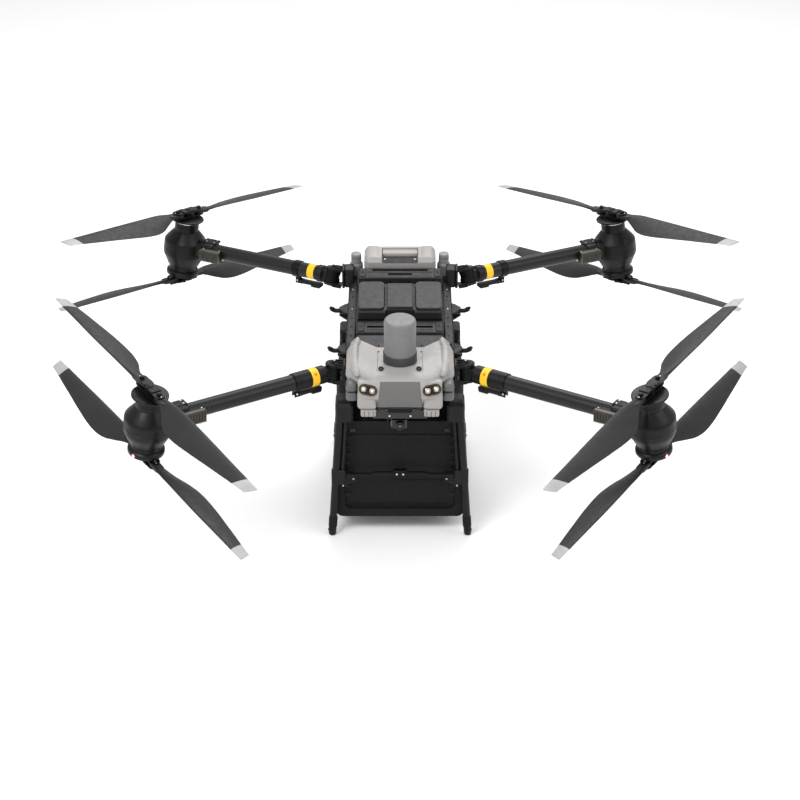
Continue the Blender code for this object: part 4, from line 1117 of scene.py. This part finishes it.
def make_top():
    """Canister, centre cover, the two batteries, the rear shell and the antennas."""
    canister = Piece()
    centre = at(0.0, CANISTER_FORWARD, 0.0)
    drum = mm(
        (0, 82), (50, 82), (54, 81), (57, 78), (58.8, 73), (59, 69), (59, 40), (58.3, 39.4), (58.3, 38.4),
        (59, 37.8), (59, -87), (0, -87),
    )
    canister.add(lathe(drum, centre, 96), CANISTER_GREY)
    ring = mm((58.5, -51.4), (61.5, -51.4), (62.5, -52.4), (62.5, -87), (58.5, -87))
    canister.add(hoop(ring, centre, 96), CANISTER_RING)
    canister.cover("parachute_canister")

    cover = softened("centre_cover", COVER_DARK, 0.0025)
    lids = ((-0.111, 0.05, -0.214, 0.012, -0.0535), (0.0, 0.049, -0.202, -0.002, -0.0549))
    for x, half, back, front, top in lids:
        for side in (-1, 1) if x else (1,):
            outline = rounded(half, (front - back) / 2, 0.02 if x else 0.004)
            middle = at(side * x, (front + back) / 2, top - 0.005)
            cover.add(plate(outline, 0.005, middle, 0.0025), PANEL_GREY)
    cover.cover("centre_cover")

    batteries = (
        ("front_battery", -0.092, ((0.125, 0.0915),), (0.06, 0.07, 0.113, 0.123)),
        ("rear_battery", -0.062, ((0.11, -0.3295), (0.047, -0.2935)), (-0.345, -0.315, -0.307, -0.278)),
    )
    for name, top, slots, rows in batteries:
        pack = Piece()
        low, high = bounds_of(name)
        tools = []
        for half, forward in slots:
            slot = placed_block((-half, forward - 0.008, top - 0.022), (half, forward + 0.008, 0.1))
            tools.append((slot, 1))
        # The grip slot walls take the near-black coat: painted shade inside the slots.
        add_carved(pack, block(low, high, 0.006, None, 3), tools, [BATTERY_DARK, NEAR_BLACK_AND_PAINTED_SHADE])
        columns = 40
        for forward in rows:
            for column in range(columns):
                x = -0.122 + 0.244 * column / (columns - 1)
                dot_low = (x - 0.0018, forward - 0.002, top - 0.001)
                dot_high = (x + 0.0018, forward + 0.002, top + 0.0008)
                pack.add(placed_block(dot_low, dot_high), COVER_DARK, False)
        back, front = MIDDLE_FORWARD - high.y, MIDDLE_FORWARD - low.y
        for side in (-1, 1):
            x = side * 0.148
            end = placed_block(
                (x - 0.013, back + 0.008, top - 0.002), (x + 0.013, front - 0.008, top + 0.003), 0.002,
            )
            pack.add(end, BLACK_PLASTIC)
            screw(pack, place(x, (back + front) / 2, top + 0.003), UP, SMALL_SCREW, DARK_METAL)
        for index in range(9):
            x = -0.14 + 0.28 * index / 8
            rib = placed_block(
                (x - 0.0035, front - 0.002, -0.272), (x + 0.0035, front + 0.0012, top - 0.012), 0.001,
            )
            pack.add(rib, BLACK_PLASTIC)
        pack.cover(name, name)

    shell = softened("rear_shell", SHELL, 0.004, 3)
    panel(shell, (-0.0725, -0.498, -0.07), (0.0725, -0.432, -0.0385), SHELL, 0.006)
    panel(shell, (-0.07, -0.43, -0.053), (0.07, -0.368, -0.0505), BLACK_PLASTIC, 0.001)
    for side in (-1, 1):
        screw(shell, place(side * 0.06, -0.402, -0.0505), UP, 0.0046)
        panel(shell, (side * 0.0745, -0.5, -0.1), (side * 0.142, -0.372, -0.029), SHELL, 0.022)
    # Seven dark bars on the rear face: painted shade standing for recesses.
    for index in range(7):
        x = -0.06 + 0.02 * index
        panel(shell, (x - 0.006, -0.5016, -0.15), (x + 0.006, -0.499, -0.09), SHELL_SEAM_AND_PAINTED_SHADE, 0.001)
    shell.cover("rear_shell", sharp=40.0)

    antenna = Piece()
    profile = mm(
        (0, -44), (16.5, -44), (19.8, -46), (20.5, -50), (20.8, -83), (22.5, -86), (25.8, -89), (26.8, -93),
        (26.8, -134.7), (0, -134.7),
    )
    post = at(*ANTENNA_PLACE)
    antenna.add(lathe(profile, post, 56), ANTENNA_GREY)
    groove = mm((20, -60), (21.1, -60), (21.1, -61.5), (20, -61.5))
    antenna.add(hoop(groove, post, 56), PANEL_GREY)
    both("antenna_look", antenna, "airframe", "antenna_{side}")


def make_body():
    """Fuselage frame with rail brackets, ribs and bolts."""
    piece = softened("fuselage_frame", FRAME_DARK, 0.0022, 2, 30.0)
    for side in (-1, 1):
        for forward in (0.15, 0.085, 0.012, -0.06, -0.135, -0.24, -0.3, -0.43):
            bright = STEEL if forward in (-0.135, -0.3) else DARK_METAL
            screw(piece, place(side * 0.1865, forward, RAIL_TOP), UP, 0.0038, bright)
        for forward, up in ((0.12, -0.18), (-0.15, -0.15)):
            bend = ((RAIL_OUTER, 0.0), (0.256, 0.0), (0.267, 0.01))
            reach = [place(side * x, forward, up + rise) for x, rise in bend]
            piece.add(tube(reach, 0.0088, 20, 0.01), BLACK_PLASTIC)
            outline = (
                (0.2035, forward + 0.046), (0.214, forward + 0.04), (0.238, forward + 0.008),
                (0.238, forward - 0.008), (0.214, forward - 0.034), (0.2035, forward - 0.04),
            )
            for level in (up - 0.016, up + 0.01):
                spot = at(0.0, 0.0, level) @ Matrix.Diagonal((1.0, -1.0, 1.0, 1.0))
                piece.add(plate([(side * x, y) for x, y in outline], 0.003, spot, 0.001), BLACK_PLASTIC)
            for step in range(4):
                root = forward - 0.03 + 0.018 * step
                low = (side * 0.2035, root - 0.002, up - 0.015)
                panel(piece, low, (side * 0.22, root + 0.002, up + 0.01), BLACK_PLASTIC, 0.0008)
        for index in range(9):
            forward = 0.095 - 0.03 * index
            rib_low = (side * RAIL_OUTER, forward - 0.0025, BELLY_BOTTOM + 0.02)
            rib_high = (side * (RAIL_OUTER + 0.0035), forward + 0.0025, RAIL_TOP - 0.012)
            panel(piece, rib_low, rib_high, BLACK_PLASTIC, 0.001)
        for up in (-0.16, -0.285):
            panel(
                piece, (side * RAIL_OUTER, -0.165, up), (side * (RAIL_OUTER + 0.003), 0.105, up + 0.006),
                FRAME_DARK, 0.001,
            )
    piece.finish("fuselage_look", "airframe", "fuselage_frame")


def make_case():
    """Foam cargo case with its front ribs, caps, strips and screw plates, and the rear door."""
    piece = softened("cargo_case", FOAM, 0.0035, 3, 30.0)
    floor = CASE_FRONT - 0.012
    for side in (-1, 1):
        for index in range(8):
            up = -0.44 - 0.036 * index
            panel(
                piece, (side * 0.188, floor - 0.002, up - 0.01),
                (side * 0.2155, floor + 0.0045, up + 0.004), FOAM_RIB, 0.003,
            )
        panel(
            piece, (side * 0.168, floor - 0.002, -0.412), (side * 0.19, floor + 0.008, -0.398), PANEL_GREY,
            0.003,
        )
        corners = (
            (side * 0.226, -0.57), (side * 0.168, -0.608), (side * 0.168, -0.626), (side * 0.226, -0.66),
        )
        on_front(piece, corners, CASE_FRONT + 0.0015, 0.0035, BLACK_PLASTIC)
        for x, up in ((0.212, -0.584), (0.178, -0.617), (0.218, -0.647)):
            screw(piece, place(side * x, CASE_FRONT + 0.0032, up), AHEAD, SCREW, STEEL, 0.0018)
    panel(piece, (-0.205, floor - 0.002, -0.436), (0.205, floor + 0.004, -0.429), FOAM_RIB, 0.002)
    panel(piece, (-0.031, floor - 0.001, -0.6335), (0.191, floor + 0.0012, -0.631), NEAR_BLACK_AND_PAINTED_SHADE, 0.0004)
    for index in range(46):
        x = -0.182 + 0.361 * index / 45
        panel(
            piece, (x - 0.0022, floor - 0.001, -0.757), (x + 0.0022, floor + 0.0045, -0.737), FOAM_RIB,
            0.001,
        )
    piece.cover("cargo_case")

    door = softened("case_door", FOAM, 0.0025, 2, 30.0)
    _, high = bounds_of("case_door")
    for x in (-0.12, -0.04, 0.04, 0.12):
        rib = block(
            (x - 0.006, high.y - 0.004, high.z - 0.33), (x + 0.006, high.y - 0.0002, high.z - 0.06), 0.0015,
        )
        door.add(rib, FOAM_RIB)
    door.cover("case_door", "case_door")


def make_gear():
    """Landing legs with knees and rubber feet, the crossbar and its clamp bolts."""
    gear = softened("landing_gear_right", BLACK_PLASTIC, 0.0018, 2, 32.0)
    for top, foot in (FRONT_LEG, REAR_LEG):
        start, end = place(*top), place(*foot)
        along = (start - end).normalized()
        turn = facing(end + along * 0.036, along)
        cuff = (
            (LEG_RADIUS, 0.0), (LEG_RADIUS + 0.0022, 0.001), (LEG_RADIUS + 0.0022, 0.044),
            (LEG_RADIUS, 0.045),
        )
        gear.add(hoop(cuff, turn, 32), RUBBER)
    both("landing_gear_look", gear, "airframe", "landing_gear_{side}")

    bar = softened("landing_crossbar", DARK_METAL, 0.001)
    low, _ = bounds_of("landing_crossbar")
    for side in (-1, 1):
        screw(bar, Vector((side * 0.012, low.y, place(0, 0, CROSSBAR_UP).z)), AHEAD, BIG_SCREW)
    bar.cover("landing_crossbar")


def make_gimbal():
    """The small camera under the nose and the yoke it tilts in."""
    yoke = softened("gimbal_yoke", DARK_METAL, 0.001)
    yoke.cover("gimbal_yoke", "gimbal_yoke")
    camera = softened("gimbal_camera", BLACK_GLOSS, 0.001)
    low, _ = bounds_of("gimbal_camera")
    spot = Vector((0.0, low.y, place(0.0, 0.0, CAMERA_UP).z))
    matrix = Matrix.Translation(spot) @ FACING_FRONT
    ring = mm((7, -2), (10.5, -2), (10.5, 1.2), (9.8, 1.8), (7.4, 1.8), (7, 1.2))
    camera.add(hoop(ring, matrix, 36), DARK_METAL)
    glass = mm((0, 1.2), (3.5, 1), (7.2, 0), (7.2, -1.5), (0, -1.5))
    camera.add(lathe(glass, matrix, 32), LENS)
    shine = metal("gimbal_motor_grey", (0.2, 0.2, 0.2), 0.35, 0.0, True)
    for index in range(4):
        x = -0.0335 + 0.0052 * index
        rib = [place(x + half, CAMERA_FORWARD, CAMERA_UP) for half in (-0.0014, 0.0014)]
        camera.add(rod(rib[0], rib[1], 0.0218, 40, 0.0004), shine)
    camera.cover("gimbal_camera", "gimbal_camera")


# ---- floor, light and camera ----
def add_object(name, data, spot=(0.0, 0.0, 0.0)):
    made = bpy.data.objects.new(name, data)
    made.location = spot
    bpy.context.scene.collection.objects.link(made)
    return made


def make_stage():
    corners = [
        (x * FLOOR_REACH, y * FLOOR_REACH, FLOOR_UP) for x, y in ((-1, -1), (1, -1), (1, 1), (-1, 1))
    ]
    mesh = bpy.data.meshes.new("studio_floor")
    mesh.from_pydata(corners, [], [(0, 1, 2, 3)])
    pale = bpy.data.materials.new("studio_white")
    pale.use_nodes = True
    pale.node_tree.nodes["Principled BSDF"].inputs["Base Color"].default_value = (1.0, 1.0, 1.0, 1.0)
    pale.node_tree.nodes["Principled BSDF"].inputs["Roughness"].default_value = 0.9
    mesh.materials.append(pale)
    floor = add_object("studio_floor", mesh)
    world = bpy.data.worlds.new("studio_world")
    world.use_nodes = True
    world.node_tree.nodes["Background"].inputs["Color"].default_value = (1.0, 1.0, 1.0, 1.0)
    world.node_tree.nodes["Background"].inputs["Strength"].default_value = SKY_STRENGTH
    bpy.context.scene.world = world
    for name, spot, size, power in LIGHTS:
        data = bpy.data.lights.new(name, "AREA")
        data.shape = "DISK"
        data.size = size
        data.energy = power
        light = add_object(name, data, spot)
        light.rotation_euler = (LIGHT_TARGET - Vector(spot)).to_track_quat("-Z", "Y").to_euler()


def make_camera():
    bpy.context.scene.view_settings.view_transform = "Standard"
    data = bpy.data.cameras.new("camera")
    data.lens = CAMERA_LENS
    data.sensor_width = SENSOR_WIDTH
    data.clip_end = SIGHT_LIMIT
    spot = (0.0, MIDDLE_FORWARD - CAMERA_BACK, CAMERA_RISE + ROTOR_PLANE_HEIGHT)
    camera = add_object("camera", data, spot)
    camera.rotation_euler = (math.radians(CAMERA_TILT), 0.0, 0.0)
    bpy.context.scene.camera = camera


make_rotors()
make_arms()
make_nose()
make_lamps()
make_top()
make_body()
make_case()
make_gear()
make_gimbal()
make_stage()
make_camera()
